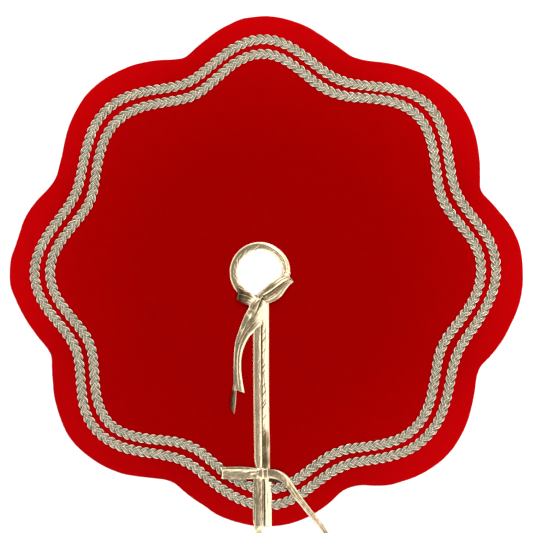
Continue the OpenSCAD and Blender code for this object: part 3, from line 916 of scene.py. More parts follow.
def binding_solid(stations_xy, out_dir, s, w, crown, lean, seed, follow_ground=True, pucker=None, thick=0.32, shade=None, **more):
    """stations_xy (n, 2): the bound edge; out_dir (n, 2): the way from the edge into the cloth."""
    a, z, dark = binding_profile(s, w, crown, lean, seed, pucker, **more)
    # shade adds painted shade, negative for painted light
    if shade is not None:
        dark = dark + (shade[:, None] if shade.ndim == 1 else shade)
    # inner face of the ribbon, for a closed solid
    da, dz = np.gradient(a, axis=1), np.gradient(z, axis=1)
    ln = np.hypot(da, dz) + 1e-9
    n, m = a.shape
    # the inside is on the field side of the fold: offset to the left of travel (top flap runs towards the fold)
    side = 1.0
    ia, iz = a + side * thick * (-dz / ln), z + side * thick * (da / ln)
    loop_a = np.concatenate([a, ia[:, ::-1]], 1)
    loop_z = np.concatenate([z, iz[:, ::-1]], 1)
    X = stations_xy[:, 0:1] + out_dir[:, 0:1] * loop_a
    Y = stations_xy[:, 1:2] + out_dir[:, 1:2] * loop_a
    U = ground(X, Y) * smooth(loop_z, 0.0, 1.2) if follow_ground else 0.0
    P = np.stack([X, Y, np.maximum(loop_z + U, 0.02)], -1)
    V, F = loop_solid(P)
    run = np.cumsum(np.concatenate([np.zeros((n, 1)), np.hypot(np.diff(loop_a, axis=1), np.diff(loop_z, axis=1))], 1), axis=1)
    dark = np.concatenate([dark, dark[:, ::-1]], 1)
    uvw = np.stack([np.broadcast_to(s[:, None], loop_a.shape), run, np.clip(dark, -1, 1)], -1).reshape(-1, 3)
    return V, F, uvw, P[:, 3]


def stitch_row(name, line, pitch=3.3, length=2.3, rad=0.26):
    """Machine stitches along a line on the ribbon, each a short thread that dips in at both ends."""
    run = np.concatenate([[0], np.cumsum(np.linalg.norm(np.diff(line, axis=0), axis=1))])
    u = np.array([-1.0, -0.55, 0.0, 0.55, 1.0])
    ang = np.arange(6) * (np.pi / 3)
    allV, allF, allA, base = [], [], [], 0
    for k in range(int(run[-1] / pitch) - 1):
        at = (k + 1) * pitch + u * length / 2
        C = np.stack([np.interp(at, run, line[:, j]) for j in range(3)], 1)
        C[:, 2] += 0.30 - 0.42 * u**2
        T = C[-1] - C[0]
        T /= np.linalg.norm(T)
        W = np.cross((0, 0, 1.0), T)
        W /= np.linalg.norm(W)
        N = np.cross(T, W)
        r = rad * (1 - 0.45 * u**4)
        ring = C[:, None, :] + r[:, None, None] * (np.cos(ang)[None, :, None] * W + np.sin(ang)[None, :, None] * N)
        V, F = loop_solid(ring)
        allV.append(V)
        allF.append([f + base for f in F])
        allA.append(np.stack([np.repeat(at, 6), np.tile(ang / (2 * np.pi), 5), np.zeros(30)], 1))
        base += len(V)
    ob = new_mesh(name, np.concatenate(allV), [np.concatenate([f[i] for f in allF]) for i in range(3)], GOLD_THREAD, attrs={"cord_mm": ("FLOAT_VECTOR", np.concatenate(allA))})
    fix_normals(ob)
    return ob


th_fold_back = math.degrees(math.acos(FX / 63.0))            # where the front-to-back fold line crosses the ring
th_left = 270.0 - math.degrees(math.asin((-LEFT_EDGE) / 63.0))
th_right = 270.0 + math.degrees(math.asin(RIGHT_EDGE / 63.0))
spans = {0: (0.0, th_fold_back), 1: (th_fold_back, 180.0), 2: (180.0, th_left), 3: (th_right, 360.0)}
for q, (t0, t1) in spans.items():
    n = int((t1 - t0) / 1.0) + 1
    th = held(np.radians(np.linspace(t0, t1, n)), 8e-4)
    s = th * 63.0
    d = np.stack([np.cos(th), np.sin(th)], 1)
    w = BIND_W - 0.4 + 0.9 * (vnoise(s / 30.0, 0 * s, 61) - 0.5)
    crown = 1.45 + 0.5 * (vnoise(s / 26.0, 0 * s, 62) - 0.5)
    deg = (np.degrees(th) + 180) % 360 - 180
    # sunny: the stretch of the ring that the light catches; there the ribbon tilts and its half by the opening gets
    # painted light
    sunny = smooth(deg, -60, -10) * (1 - smooth(deg, 62, 100))
    lean = 0.6 * (vnoise(s / 34.0, 0 * s, 63) - 0.45) + 0.7 * smooth(-np.abs(deg - 20), -60, 0) + 2.1 * sunny
    crown = crown - 0.3 * sunny
    turn_ = np.degrees(th)
    # painted shade where the ring passes under the bow's left loop, lighter painted shade on its left side, and a touch
    # in the sunny stretch
    ring_painted_shade = 0.75 * smooth(turn_, 206, 222) * (1 - smooth(turn_, 275, 285)) + 0.12 * smooth(turn_, 95, 130) * (1 - smooth(turn_, 190, 215)) + 0.05 * sunny
    w = w - 0.8 * dip(turn_)
    V, F, uvw, seam = binding_solid(d * (NECK_R + 0.25 + dip(turn_))[:, None], d, s, w, crown, lean, 64, shade=ring_painted_shade, rim=0.7, roll=0.8, inner_light=0.85 * sunny,
                                    creases=[(k * 9.3 + 5.0 * math.sin(k * 2.3), 0.35 + 0.35 * math.sin(k * 1.7)) for k in range(0, 44)])
    ob = new_mesh("neck_binding_" + QUARTERS[q] + "_ribbon", V, F, RIBBON, attrs={"ribbon_mm": ("FLOAT_VECTOR", uvw)})
    fix_normals(ob)
    follow(ob, q, "trim")
    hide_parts("neck_binding_" + QUARTERS[q])
    follow(stitch_row("neck_binding_" + QUARTERS[q] + "_stitching", seam), q, "trim")

Y_HEM = {-1: -(ray_to_outline(LEFT_EDGE - 9, np.array([math.radians(270.0)]))[0] - 0.8),
         1: -(ray_to_outline(RIGHT_EDGE + 9, np.array([math.radians(270.0)]))[0] - 0.8)}
for side, nm in ((-1, "left"), (1, "right")):
    y0, y1 = -(NECK_R + BIND_W + 0.3), Y_HEM[side]
    n = int(abs(y1 - y0) / 1.5) + 1
    y = held(np.linspace(y0, y1, n), 0.05)
    s = -y
    edge = LEFT_EDGE if side < 0 else RIGHT_EDGE
    near_hem_knot = np.exp(-((y + 466.0) / 42.0) ** 2)
    if side < 0:
        w = BIND_W + 0.6 + 0.7 * (vnoise(s / 60.0, 0 * s, 71) - 0.5) - 4.5 * np.exp(-((y + 470.0) / 15.0) ** 2)
        crown = 1.4 + 0.4 * (vnoise(s / 48.0, 0 * s, 72) - 0.5)
        lean = 0.3 * (vnoise(s / 80.0, 0 * s, 73) - 0.5) + 0.5 * near_hem_knot
        pucker = np.full_like(s, 0.12)
    else:
        twist = smooth(-y, 360, 395) * (1 - smooth(-y, 463, 482))
        w = BIND_W - 0.6 + 0.7 * (vnoise(s / 70.0, 0 * s, 74) - 0.5) + 1.2 * twist
        crown = 0.50 + 0.35 * (vnoise(s / 40.0, 0 * s, 75) - 0.5) + 1.0 * twist
        lean = 5.0 - 5.1 * twist + 0.5 * (vnoise(s / 50.0, 0 * s, 76) - 0.5)
        pucker = 0.12 * (1 - smooth(s, 340, 420))
    base = np.stack([lay(np.full_like(y, edge), y, side) - side * 0.85, y], 1)
    d = np.stack([np.full_like(y, float(side)), 0 * y], 1)
    # the left binding's shade is negative, painted light; the right one gets painted shade in its twisted folds; both
    # get painted shade at the fold and painted light on the far edge
    if side < 0:
        shade, cr = -0.20 + 0.25 * (vnoise(s / 55.0, 0 * s, 78) - 0.5) + 0.2 * smooth(s, 480, 500), ()
    else:
        shade = 0.55 * twist * (0.5 + 1.0 * vnoise(s / 14.0, 0 * s, 79)) - 0.05 * (1 - twist)
        cr = [(150.0, 0.7), (167.0, 1.3), (194.0, 0.6), (229.0, 1.2), (243.0, 0.8), (274.0, 0.6), (294.0, 1.1), (315.0, 1.0), (324.0, 1.3), (352.0, 0.7), (396.0, 1.1), (418.0, 1.0), (441.0, 1.2)]
    V, F, uvw, seam = binding_solid(base, d, s, w, crown, lean, 77 + side, pucker=pucker, shade=shade, creases=cr, fold_dark=0.9 if side > 0 else 0.3, rim=0.9 if side < 0 else 0.2, roll=2.3 if side < 0 else 0.0, inner_light=0.0 * s if side < 0 else 0.10 * (1 - twist))
    ob = new_mesh("slit_binding_" + nm + "_ribbon", V, F, RIBBON, attrs={"ribbon_mm": ("FLOAT_VECTOR", uvw)})
    fix_normals(ob)
    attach(ob, "front_left" if side < 0 else "front_right")
    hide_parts("slit_binding_" + nm)
    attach(stitch_row("slit_binding_" + nm + "_stitching", seam), "front_left" if side < 0 else "front_right")


# ------------------------------------------------------------------ loose ribbon
def spline(P, n):
    """Points on a smooth curve through P (k, d), evenly spaced by the length of its first three columns."""
    P = np.asarray(P, float)
    d = np.linalg.norm(np.diff(P[:, :3], axis=0), axis=1) ** 0.5 + 1e-6
    t = np.concatenate([[0], np.cumsum(d)])
    # natural tangents of a non-uniform Catmull-Rom curve
    m = np.zeros_like(P)
    m[1:-1] = ((P[1:-1] - P[:-2]) / d[:-1, None] * d[1:, None] + (P[2:] - P[1:-1]) / d[1:, None] * d[:-1, None]) / (d[:-1] + d[1:])[:, None]
    m[0] = (P[1] - P[0]) / d[0]
    m[-1] = (P[-1] - P[-2]) / d[-1]
    tt = np.linspace(0, t[-1], 900)
    k = np.clip(np.searchsorted(t, tt, side="right") - 1, 0, len(d) - 1)
    h = d[k]
    u = (tt - t[k]) / h
    h00, h10, h01, h11 = 2 * u**3 - 3 * u**2 + 1, u**3 - 2 * u**2 + u, -2 * u**3 + 3 * u**2, u**3 - u**2
    C = h00[:, None] * P[k] + (h10 * h)[:, None] * m[k] + h01[:, None] * P[k + 1] + (h11 * h)[:, None] * m[k + 1]
    L = np.concatenate([[0], np.cumsum(np.linalg.norm(np.diff(C[:, :3], axis=0), axis=1))])
    sv = np.linspace(0, L[-1], n)
    return np.stack([np.interp(sv, L, C[:, j]) for j in range(P.shape[1])], 1), sv


def ribbon(name, ctrl, step=1.5, crown=1.4, power=2.6, crease=None, wrinkle=0.35, seed=1, thick=0.3, cut=None, nv=23, ground_on=True, dents=(), dark=None):
    """A length of ribbon along ctrl rows of (x, y, z, width, tilt, heading of its width in degrees or None).
    crease: list of (where across -1..1, depth, half width) ; cut: slant of the cut end in mm; dark: painted shade over
    the ribbon, negative for painted highlight."""
    rows = []
    for i, c in enumerate(ctrl):
        x, y, z, w, tilt, ha = (*c, None, None)[:6] if len(c) < 6 else c
        if ha is None:
            p, nx_ = ctrl[max(i - 1, 0)], ctrl[min(i + 1, len(ctrl) - 1)]
            ha = math.degrees(math.atan2(nx_[1] - p[1], nx_[0] - p[0])) + 90.0
        rows.append([x, y, z, w, tilt or 0.0, ha])
    rows = np.array(rows, float)
    rows[:, 5] = np.degrees(np.unwrap(np.radians(rows[:, 5])))
    L = np.linalg.norm(np.diff(rows[:, :3], axis=0), axis=1).sum()
    n = max(8, int(L / step))
    S, s = spline(rows, n)
    C, w, tilt, ha = S[:, :3], S[:, 3], np.radians(S[:, 4]), np.radians(S[:, 5])
    T = np.gradient(C, axis=0)
    T /= np.linalg.norm(T, axis=1)[:, None]
    W = np.stack([np.cos(ha) * np.cos(tilt), np.sin(ha) * np.cos(tilt), np.sin(tilt)], 1)
    W -= (W * T).sum(1)[:, None] * T
    W /= np.linalg.norm(W, axis=1)[:, None]
    N = np.cross(T, W)
    inner = np.linspace(-0.9, 0.9, nv)
    v = np.concatenate([[-1.0, -0.975, -0.94], inner, [0.94, 0.975, 1.0]])
    cr = crown(s / s[-1]) if callable(crown) else np.full(n, crown)
    h = cr[:, None] * (1 - np.abs(v)[None, :] ** power) - cr[:, None]
    shadow = np.zeros((n, len(v)))
    for where, depth, half in crease or ():
        wh = where(s / s[-1]) if callable(where) else np.full(n, where)
        dp = depth(s / s[-1]) if callable(depth) else np.full(n, depth)
        x_ = np.abs((v[None, :] - wh[:, None]) * w[:, None] / 2) / half
        h = h - dp[:, None] * np.exp(-(x_ ** 1.6))
        # painted shade along each crease's floor
        shadow = np.maximum(shadow, np.clip(dp, 0, 1.2)[:, None] * 0.8 * np.exp(-((x_ / 0.42) ** 2)))
    a = v[None, :] * w[:, None] / 2
    h = h + wrinkle * (vnoise(s[:, None] / 9.0 + a / 11.0, a / 6.5, seed) - 0.5) * 1.6 + wrinkle * 0.5 * (vnoise(s[:, None] / 3.6 - a / 5.0, a / 7.0, seed + 9) - 0.5)
    for ds_, dv_, dh_, rs_, rv_ in dents:
        h = h + dh_ * np.exp(-((s[:, None] - ds_) / rs_) ** 2 - ((a - dv_) / rv_) ** 2)
    along = np.zeros_like(a)
    if cut:
        along[-1] = cut * v
        for back in range(2, 10):
            along[-back] = cut * v * max(0.0, 1 - (back - 1) / 9.0)
    P = C[:, None, :] + W[:, None, :] * a[:, :, None] + N[:, None, :] * h[:, :, None] + T[:, None, :] * along[:, :, None]
    B = P - N[:, None, :] * thick
    if ground_on:
        for Q in (P, B):
            Q[..., 2] += ground(Q[..., 0], Q[..., 1]) * smooth(np.hypot(Q[..., 0] - CX, Q[..., 1]), 700, 560)
    V, F = strip_solid(P, B)
    # dark adds painted shade, and painted highlight where it is negative
    if dark is not None:
        shadow = shadow + np.asarray(dark(s / s[-1], v[None, :], s))
    uv = np.stack([np.broadcast_to(s[:, None], a.shape), a, np.clip(shadow, -1, 1)], -1)
    uv = np.concatenate([uv, uv[:, ::-1]], 1).reshape(-1, 3)
    ob = new_mesh(name, V, F, RIBBON, attrs={"ribbon_mm": ("FLOAT_VECTOR", uv)})
    fix_normals(ob)
    return ob


def halves(ob, left_name, right_name, x=FX, gap=0.04):
    """Cuts a mesh at the slit: what is left of it and what is right of it, as two closed pieces."""
    out = []
    for nm, keep_left in ((left_name, True), (right_name, False)):
        if nm is None:
            out.append(None)
            continue
        me = ob.data.copy()
        bm = bmesh.new()
        bm.from_mesh(me)
        cx = (x - gap if keep_left else x + gap) / 1000.0
        geom = list(bm.verts) + list(bm.edges) + list(bm.faces)
        bmesh.ops.bisect_plane(bm, geom=geom, plane_co=(cx + (-0.00008 if keep_left else 0.00008), 0, 0), plane_no=(1, 0, 0))
        geom = list(bm.verts) + list(bm.edges) + list(bm.faces)
        res = bmesh.ops.bisect_plane(bm, geom=geom, plane_co=(cx, 0, 0), plane_no=(1, 0, 0), clear_outer=keep_left, clear_inner=not keep_left)
        edges = [e for e in res["geom_cut"] if isinstance(e, bmesh.types.BMEdge)]
        if edges:
            filled = bmesh.ops.holes_fill(bm, edges=edges, sides=0)
            for f in filled["faces"]:
                f.smooth = False
        bm.to_mesh(me)
        bm.free()
        if len(me.polygons) == 0:
            out.append(None)
            continue
        o = bpy.data.objects.new(nm, me)
        bpy.context.scene.collection.objects.link(o)
        out.append(o)
    bpy.data.objects.remove(ob)
    return out


def join(name, obs):
    """One object of several, with its materials kept."""
    obs = [o for o in obs if o is not None]
    V, F, A, base = [], {}, [], 0
    for o in obs:
        me = o.data
        co = np.zeros(len(me.vertices) * 3, np.float32)
        me.vertices.foreach_get("co", co)
        V.append(co.reshape(-1, 3))
        at = me.attributes.get("ribbon_mm")
        d = np.zeros(len(me.vertices) * 3, np.float32)
        if at is not None:
            at.data.foreach_get("vector", d)
        A.append(d.reshape(-1, 3))
        for p in me.polygons:
            F.setdefault((p.use_smooth, p.loop_total), []).append([i + base for i in p.vertices])
        base += len(me.vertices)
    keys = sorted(F)
    faces = [np.array(F[k]) for k in keys]
    out = new_mesh(name, np.concatenate(V), faces, obs[0].data.materials[0], attrs={"ribbon_mm": ("FLOAT_VECTOR", np.concatenate(A))}, flat=sum(not k[0] for k in keys), scale=1.0)
    for o in obs:
        bpy.data.objects.remove(o)
    return out


def wrap(name, cx, cy, zc, angle, length, half, height, seed, folds=3.0, squeeze=0.25, shade=0.0):
    """The turn of ribbon round a knot: a short flattened tube, its axis at angle in plan, with painted shade in its
    crease valleys and shade added as painted shade.
    """
    nt_, na = 22, 40
    t = np.linspace(-1, 1, nt_)
    ph = np.linspace(0, 2 * np.pi, na, endpoint=False)
    ca, sa = math.cos(math.radians(angle)), math.sin(math.radians(angle))
    T, PH = np.meshgrid(t, ph, indexing="ij")
    prof = (1 - squeeze * np.abs(T) ** 3)
    crease = 1 + 0.10 * np.cos(T * folds * np.pi + 0.7 * np.sin(PH)) + 0.12 * (vnoise(T * 3.0 + 5, PH * 1.6, seed) - 0.5)
    sx = np.sign(np.cos(PH)) * np.abs(np.cos(PH)) ** 0.8
    sz = np.sign(np.sin(PH)) * np.abs(np.sin(PH)) ** 0.8
    lat = half * prof * crease * sx
    z = zc + height * prof * crease * sz
    ax = T * length / 2 + 1.2 * (vnoise(PH * 1.3, T, seed + 3) - 0.5)
    X = cx + ax * ca - lat * sa
    Y = cy + ax * sa + lat * ca
    P = np.stack([X, Y, z], -1)
    V, F = loop_solid(P)
    # painted shade in the valleys of the creases, with shade added on top
    valley = np.clip(1.35 - crease * 1.25, 0, 1) ** 1.5 * 1.2
    uvw = np.stack([PH * half * 0.8, ax, np.clip(valley + shade, 0, 0.85)], -1).reshape(-1, 3)
    ob = new_mesh(name, V, F, RIBBON, attrs={"ribbon_mm": ("FLOAT_VECTOR", uvw)})
    fix_normals(ob)
    return ob


def place(ob, body, nodes):
    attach(ob, body)
    if nodes:
        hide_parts(*nodes)
    return ob


# ---- neck bow ----
# left loop: short and blunt, leaning towards the front; dark() paints shade over most of it and a highlight near the
# knot
nl = ribbon("nl", [(1, -72, 7.0, 12, 6, 70), (-9, -69.5, 9.0, 18, 12, 76), (-19, -66, 11.0, 24, 12, 79), (-30, -61, 11.8, 28.5, 6, 80), (-43, -56, 11.2, 25, 2, 81),
                   (-50.5, -53.5, 9.4, 22.5, 2, 82), (-53.5, -53.2, 7.4, 21.5, 6, 82), (-51.5, -53.5, 6.0, 21.5, 2, 82), (-26, -61, 5.7, 23, 0, 78), (0, -69, 6.0, 14, 0, 70)],
            crown=1.2, wrinkle=0.30, seed=101, crease=[(lambda t: 0.50 - 0.2 * t, 0.7, 1.5), (lambda t: -0.05 - 0.1 * t, 0.35, 1.4), (-0.55, 0.6, 1.4)], nv=29,
            dark=lambda t, v, s: (0.72 * smooth(t, 0.215, 0.29) * (1 - smooth(t, 0.62, 0.8)))[:, None] * (0.8 + 0.1 * v) + (0.45 * smooth(t, 0.36, 0.45) * (1 - smooth(t, 0.62, 0.8)))[:, None]
            + 0.35 * smooth(-v, 0.70, 0.88) * (1 - smooth(t, 0.6, 0.8))[:, None] + (-0.5 * smooth(t, 0.10, 0.14) * (1 - smooth(t, 0.17, 0.23)))[:, None])
# right loop: its upper run along the opening's edge, its lower run below that; dark() paints shade in their folds and
# highlights where the light catches them
ru = ribbon("ru", [(-6, -61, 8.6, 9, -4, 140), (0, -54.5, 10.4, 9.5, -4, 138), (6, -49, 11.4, 10.5, -4, 136), (16, -41.5, 12.2, 13.5, -4, 132), (33, -28, 12.8, 16, -2, 128), (50, -16, 12.2, 16.5, 4, 122), (62, -10.5, 10.6, 16, 8, 116),
                   (70, -9, 8.6, 15, 6, 112), (72, -10, 7.0, 15, 0, 112), (66, -13, 6.4, 15, 0, 114), (48, -21, 6.2, 15, 0, 122), (28, -37, 6.2, 14, 0, 130), (10, -55, 6.2, 12, 0, 134)],
            crown=1.5, wrinkle=0.28, seed=111, crease=[(lambda t: 0.15 - 0.5 * t, 0.5, 1.5), (0.62, -0.5, 1.2)], nv=25, dents=[(62, 2, 0.8, 7, 3), (40, -3, -0.4, 9, 2.5)],
            dark=lambda t, v, s: (0.30 * (1 - smooth(s, 48, 62)) * smooth(s, 10, 18))[:, None] * smooth(v, -0.7, -0.3) - 0.75 * (smooth(s, 44, 58) * (1 - smooth(s, 72, 84)))[:, None] * smooth(v, -0.6, -0.1)
            + 0.35 * (smooth(s, 80, 90) * (1 - smooth(s, 100, 112)))[:, None] * (1 - smooth(v, 0.2, 0.7)) - 0.8 * np.exp(-((v + 0.86) / 0.13) ** 2) * (1 - smooth(s, 70, 84))[:, None])
rl = ribbon("rl", [(4, -69, 7.6, 12, -6, 128), (14, -64.5, 9.6, 18, -7, 127), (27, -58, 10.8, 23, -8, 126), (41, -48, 11.0, 24, -6, 126), (54, -35, 10.4, 18.5, -2, 125), (65, -25.5, 9.2, 13.5, 2, 123),
                   (75, -18.5, 7.6, 11, 4, 122), (77.5, -17, 6.6, 11, 4, 121), (74, -19, 5.9, 11.5, 0, 121), (60, -28, 5.8, 14, 0, 122), (34, -49, 5.8, 16, 0, 126)],
            crown=1.4, wrinkle=0.30, seed=121, crease=[(lambda t: 0.28 - 0.30 * t, 0.6, 1.6), (lambda t: -0.42 + 0.25 * t, 1.3, 1.1), (0.75, 0.9, 1.2)], nv=33,
            dark=lambda t, v, s: 0.50 * (smooth(s, 14, 22) * (1 - smooth(s, 66, 78)))[:, None] * smooth(v, 0.22, 0.42) + 0.28 * (smooth(s, 50, 58) * (1 - smooth(s, 74, 84)))[:, None]
            - 0.75 * (smooth(s, 16, 24) * (1 - smooth(s, 34, 42)))[:, None] * smooth(v, -0.45, -0.25) * (1 - smooth(v, 0.1, 0.3)) - 0.5 * (1 - smooth(v, -0.72, -0.5)) * (1 - smooth(s, 70, 84))[:, None])
# the turn round the middle, with painted shade in its depth and a painted highlight down the side piece; the rear tail
# comes down over it
kn = wrap("kn", 1.0, -69.5, 9.4, 62, 26, 10.0, 3.2, 131, folds=2.2, squeeze=0.30, shade=0.85)
kn2 = ribbon("kn2", [(-13.5, -58.5, 7.0, 10, 0, 8), (-16.5, -64, 10.4, 12, 6, 6), (-19, -71, 10.6, 12.5, 6, 2), (-20.5, -78, 9.0, 12, 4, 0), (-21.0, -84, 7.0, 10, 0, 0)],
             crown=1.6, wrinkle=0.3, seed=135, crease=[(0.1, 1.0, 1.3)], ground_on=False, dark=lambda t, v, s: -0.55 * np.exp(-((v + 0.35) / 0.4) ** 2) * np.ones((len(t), 1)))
# the two tails: dark() paints shade at the rear tail's tip and in folds, and highlights on facets and edges the light
# catches
rear = ribbon("rear", [(5.5, -52, 9.6, 8, 6, 44), (1.5, -57, 12.2, 11, 10, 38), (-4.5, -63.5, 13.6, 13, 8, 24), (-10.0, -72, 13.8, 16, 4, 12), (-14.5, -82, 12.8, 20.5, 2, 2), (-18.0, -94, 10.0, 24.5, 2, -10), (-26.0, -108, 7.8, 24.5, 3, -22), (-34, -125, 6.8, 22, 3, -27), (-41.5, -142, 6.4, 18.5, 2, -20), (-48.5, -160, 6.2, 16.5, 0, None), (-52.7, -178, 6.0, 15, 0, None),
                       (-55, -203, 5.9, 13.4, 0, None), (-56, -232, 5.9, 13.0, 0, None), (-56.5, -256, 5.9, 12, -4, None), (-59.5, -277, 6.4, 9.5, -10, None), (-62.8, -302, 6.8, 12, -12, None), (-63.8, -320, 6.6, 10.5, -12, None), (-64, -331, 6.2, 6, -10, None)],
              crown=lambda t: 1.7 - 0.7 * t, wrinkle=0.28, seed=141, crease=[(lambda t: 0.1 * np.sin(9 * t) - 0.1 + 0.5 * t, lambda t: 0.9 * smooth(t, 0.2, 0.3) * (1 - 0.6 * t), 1.5), (lambda t: -0.30 + 0 * t, lambda t: 1.0 * (1 - smooth(t, 0.10, 0.16)), 1.5)], cut=5,
              dents=[(58, -3.5, 1.4, 5, 4.0), (68, 3.5, -0.9, 6, 2.5), (100, -2.5, 1.0, 5, 2.8)],
              dark=lambda t, v, s: (1.6 * smooth(s, 240, 250))[:, None] * (1 - smooth(v, 0.62, 0.9)) + (0.30 * smooth(s, 95, 130) * (1 - smooth(s, 236, 246)))[:, None] * smooth(v, -0.5, 0.2) + 0.28 * (smooth(s, 22, 32) * (1 - smooth(s, 50, 56)))[:, None] * smooth(v, -0.75, -0.45)
              - 0.85 * (1 - smooth(s, 18, 30))[:, None] * (1 - smooth(v, -0.1, 0.25)) + 0.35 * (1 - smooth(s, 20, 30))[:, None] * smooth(v, 0.2, 0.5)
              - 0.95 * np.exp(-((s[:, None] - 58) / 5.5) ** 2 - ((v + 0.15 - 0.03 * (s[:, None] - 58)) / 0.30) ** 2) - 0.9 * (1 - smooth(v, -0.93, -0.72)) * smooth(s, 24, 36)[:, None] * (1 - smooth(s, 150, 220))[:, None]
              + 0.55 * np.exp(-((s[:, None] - 66) / 9.0) ** 2 - ((v - 0.42) / 0.10) ** 2))
front = ribbon("front", [(8.5, -59, 9.8, 3.5, -14, 0), (8.6, -66, 12.0, 7.0, -15, -2), (8.6, -75, 12.6, 12.5, -16, -3), (8.0, -85, 12.2, 19.5, -16, -4), (5.5, -97, 11.2, 24.5, -16, -6), (-2, -112, 9.8, 25, -13, -20), (-15, -128, 8.8, 22, -6, -34), (-31, -147, 8.8, 16.5, -9, None),
                         (-42.8, -171, 8.6, 15.2, -13, None), (-49.2, -198, 8.4, 13.2, -15, None), (-50.6, -228, 8.2, 13.0, -15, None), (-49.1, -256, 8.0, 14.8, -10, None), (-46.5, -282, 7.4, 18.6, -4, None)],
               crown=lambda t: 0.6 + 1.0 * smooth(t, 0.2, 0.4) - 0.4 * t, wrinkle=0.28, seed=151, crease=[(lambda t: -0.5 + 0.35 * t, lambda t: 1.2 * smooth(t, 0.25, 0.4) * (1 - 0.5 * smooth(t, 0.6, 1.0)), 1.8), (lambda t: 0.55 - 0.3 * t, lambda t: -0.5 * (1 - t) * smooth(t, 0.2, 0.3), 1.6)], cut=5,
               dark=lambda t, v, s: -0.12 * (1 - smooth(s, 34, 62))[:, None] * np.ones_like(v) + 0.5 * (smooth(s, 60, 80) * (1 - smooth(s, 110, 150)))[:, None] * np.exp(-((v + 0.5) / 0.25) ** 2))

nl_l, nl_r = halves(nl, "nl_l", None)
ru_l, ru_r = halves(ru, "ru_l", "ru_r")
_, rl_r = halves(rl, None, "rl_r")
kn_l, kn_r = halves(kn, "kn_l", "kn_r")
k2_l, _ = halves(kn2, "k2_l", None)
rear_l, rear_r = halves(rear, "rear_l", "rear_r")
front_l, front_r = halves(front, "front_l", "front_r")

pieces_neck = {
    "neck_loop_left_ribbon": (join("neck_loop_left_ribbon", [nl_l]), "front_left", ["neck_loop_left"]),
    "neck_loop_right_ribbon": (join("neck_loop_right_ribbon", [ru_r, rl_r]), "front_right", ["neck_loop_right"]),
    "neck_knot_left_ribbon": (join("neck_knot_left_ribbon", [kn_l, k2_l, ru_l]), "front_left", ["neck_knot_left"]),
    "neck_knot_right_ribbon": (join("neck_knot_right_ribbon", [kn_r, rear_r]), "front_right", ["neck_knot_right"]),
    "neck_tail_rear_ribbon": (join("neck_tail_rear_ribbon", [rear_l]), "front_left", ["neck_tail_rear"]),
    "neck_tail_front_ribbon": (join("neck_tail_front_ribbon", [front_l]), "front_left", ["neck_tail_front"]),
    "neck_tail_root_ribbon": (join("neck_tail_root_ribbon", [front_r]), "front_right", ["neck_tail_root"]),
}
for nm, (ob, body, nodes) in pieces_neck.items():
    if nm == "neck_loop_right_ribbon":          # it lies over the fold, so it is placed as the binding under it is, through follow()
        follow(ob, 3, "trim")
        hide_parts(*nodes)
    else:
        place(ob, body, nodes)

# ---- hem bow ----
HX = FX + 2.6        # where the slit has drifted to, at this knot
# hem loop: dark() paints light over its near half and shade in one small crease
hl = ribbon("hl", [(5, -477.5, 9.6, 17, 0, 90), (-8, -477.5, 11.2, 20.5, 0, 90), (-24, -477.5, 12.0, 22, -2, 90), (-50, -477.5, 12.2, 23, -3, 90), (-80, -477.5, 11.6, 22.5, -2, 90), (-88.5, -477.5, 10.2, 22.5, 0, 90),
                   (-90, -476.5, 8.6, 22.5, 0, 90), (-86, -474.6, 7.6, 23, 0, 90), (-45, -473.2, 7.4, 23.5, 0, 90), (-15, -474, 7.4, 20, 0, 90), (4, -476, 7.6, 16, 0, 90)],
            crown=1.5, wrinkle=0.4, seed=201, crease=[(0.25, lambda t: 1.1 * np.exp(-((t - 0.06) / 0.10) ** 2), 2.0), (-0.4, lambda t: 0.9 * np.exp(-((t - 0.03) / 0.08) ** 2), 1.6)],
            dents=[(22, -2, 1.0, 5, 4), (9, 2.5, -1.3, 2.2, 2.0), (38, 4, 0.8, 9, 3), (70, -4, 0.7, 12, 3)], nv=27,
            dark=lambda t, v, s: -0.35 * (1 - smooth(t, 0.50, 0.60))[:, None] * (1 - 0.5 * np.exp(-((v + 0.8) / 0.2) ** 2)) + 0.9 * np.exp(-((s[:, None] - 16) / 2.0) ** 2 - ((v + 0.1) / 0.25) ** 2))
hk = wrap("hk", 5.2, -477.0, 9.4, 0, 27, 13.5, 4.6, 211, folds=2.2, squeeze=0.10)
# right tail: painted shade along one edge
right_tail = ribbon("right_tail", [(6, -477, 9.6, 15, 0, None), (19, -477, 10.6, 20, 0, None), (33, -478, 11.4, 21, 0, None), (47, -482.5, 11.2, 20.5, -4, None), (60, -491, 10.2, 18.5, -10, None), (72, -507, 9.6, 17, -12, None),
                                   (85.5, -527, 9.0, 15.5, -4, None), (102, -549, 7.4, 14.5, 2, None), (118.5, -570.5, 6.0, 14, 4, None), (128, -582, 5.0, 14, 4, None), (139, -595, 3.2, 14, 4, None), (152, -612, 1.6, 13.5, 4, None),
                                   (167, -636, 1.2, 14, 0, None), (181, -664, 1.2, 14.5, 0, None)],
                    crown=1.5, wrinkle=0.35, seed=221, crease=[(lambda t: 0.15 * np.sin(t * 5), lambda t: 1.0 * smooth(t, 0.22, 0.36), 1.9)], cut=4,
                    dark=lambda t, v, s: (0.16 * smooth(t, 0.02, 0.08))[:, None] * smooth(v, -0.95, -0.75) * (1 - 0.6 * smooth(v, 0.75, 0.95)))
# an almost black strip of ribbon under the tail's start: a painted shadow where the tail stands off the braid
shade = ribbon("shade", [(16, -489, 6.4, 12, -10, 90), (24, -490.5, 6.6, 13, -10, 90), (34, -492, 6.6, 12, -10, 88), (44, -495, 6.2, 8, -10, 84)], crown=0.5, wrinkle=0.2, seed=225, ground_on=False, dark=lambda t, v, s: 0.97 * np.ones((len(t), 1)) * np.ones_like(v))
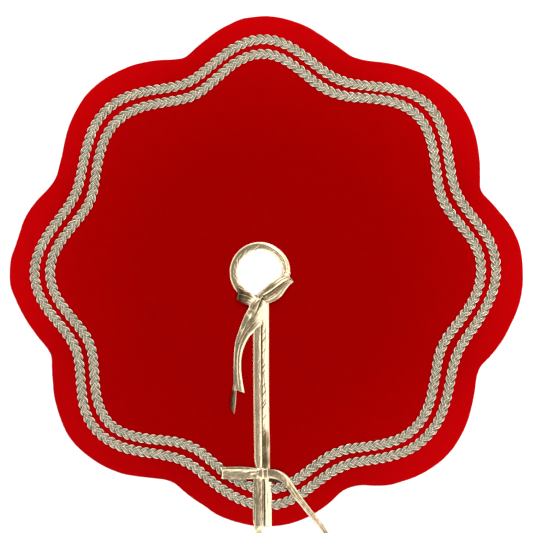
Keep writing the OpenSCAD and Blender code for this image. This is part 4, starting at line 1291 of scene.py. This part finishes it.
# down tail: painted shade over most of its width, painted highlight along one edge and where it bends over the hem
down_tail = ribbon("down_tail", [(-2, -480, 9.4, 17, 0, 0), (-3.5, -490, 8.0, 22, 0, 0), (-4.0, -510, 7.4, 25, 0, 0), (-4.0, -545, 7.4, 25.5, 3, 0), (-4.0, -570, 6.8, 25, 2, 0), (-4.0, -588, 6.0, 24, 0, 0), (-3.6, -602, 4.6, 22.5, 0, 0), (-2.8, -616, 2.8, 19.5, 2, 0),
                                 (-1.6, -632, 1.5, 17, 2, 0), (-1.0, -655, 1.2, 17, 0, 0), (-1.0, -683, 1.2, 17, 0, 0)],
                   crown=1.3, wrinkle=0.35, seed=231, crease=[(0.1, lambda t: -0.35 + 0.5 * smooth(t, 0.3, 0.6), 3.0), (0.72, lambda t: 0.5 * (1 - smooth(t, 0.5, 0.7)), 1.6)], cut=4,
                   dark=lambda t, v, s: (0.22 * smooth(s, 10, 20) * (1 - smooth(s, 85, 105)))[:, None] * smooth(v, -0.92, -0.7) - 0.8 * np.exp(-((s - 122) / 15.0) ** 2)[:, None] * np.exp(-((v - 0.1) / 0.5) ** 2) - 0.7 * (1 - smooth(v, -0.94, -0.8)) * np.ones((len(s), 1)))

hl_l, _ = halves(hl, "hl_l", None, HX)
hk_l, hk_r = halves(hk, "hk_l", "hk_r", HX)
_, rt_r = halves(right_tail, None, "rt_r", HX)
dt_l = down_tail
pieces_hem = {
    "hem_loop_left_ribbon": (join("hem_loop_left_ribbon", [hl_l]), "front_left", ["hem_loop_left"]),
    "hem_knot_left_ribbon": (join("hem_knot_left_ribbon", [hk_l]), "front_left", ["hem_knot_left"]),
    "hem_knot_right_ribbon": (join("hem_knot_right_ribbon", [hk_r]), "front_right", ["hem_knot_right"]),
    "hem_tail_right_ribbon": (join("hem_tail_right_ribbon", [rt_r, shade]), "front_right", ["hem_tail_right"]),
    "hem_tail_down_ribbon": (join("hem_tail_down_ribbon", [dt_l]), "front_left", ["hem_tail_down"]),
}
for nm, (ob, body, nodes) in pieces_hem.items():
    place(ob, body, nodes)


# ------------------------------------------------------------------ areas of the cloth quarters, worked out and not used
def mesh_area(ob):
    return sum(p.area for p in ob.data.polygons)


for q in range(4):
    a = cloth_area(q, 0, NECK_R + 1.15, 1.1)
    round(cloth_area(q, 9.2, NECK_R + BIND_W + 0.3, BIND_W + 0.3), 4)
    round(cloth_area(q, 11.0, NECK_R + 2.0, 2.0), 4)
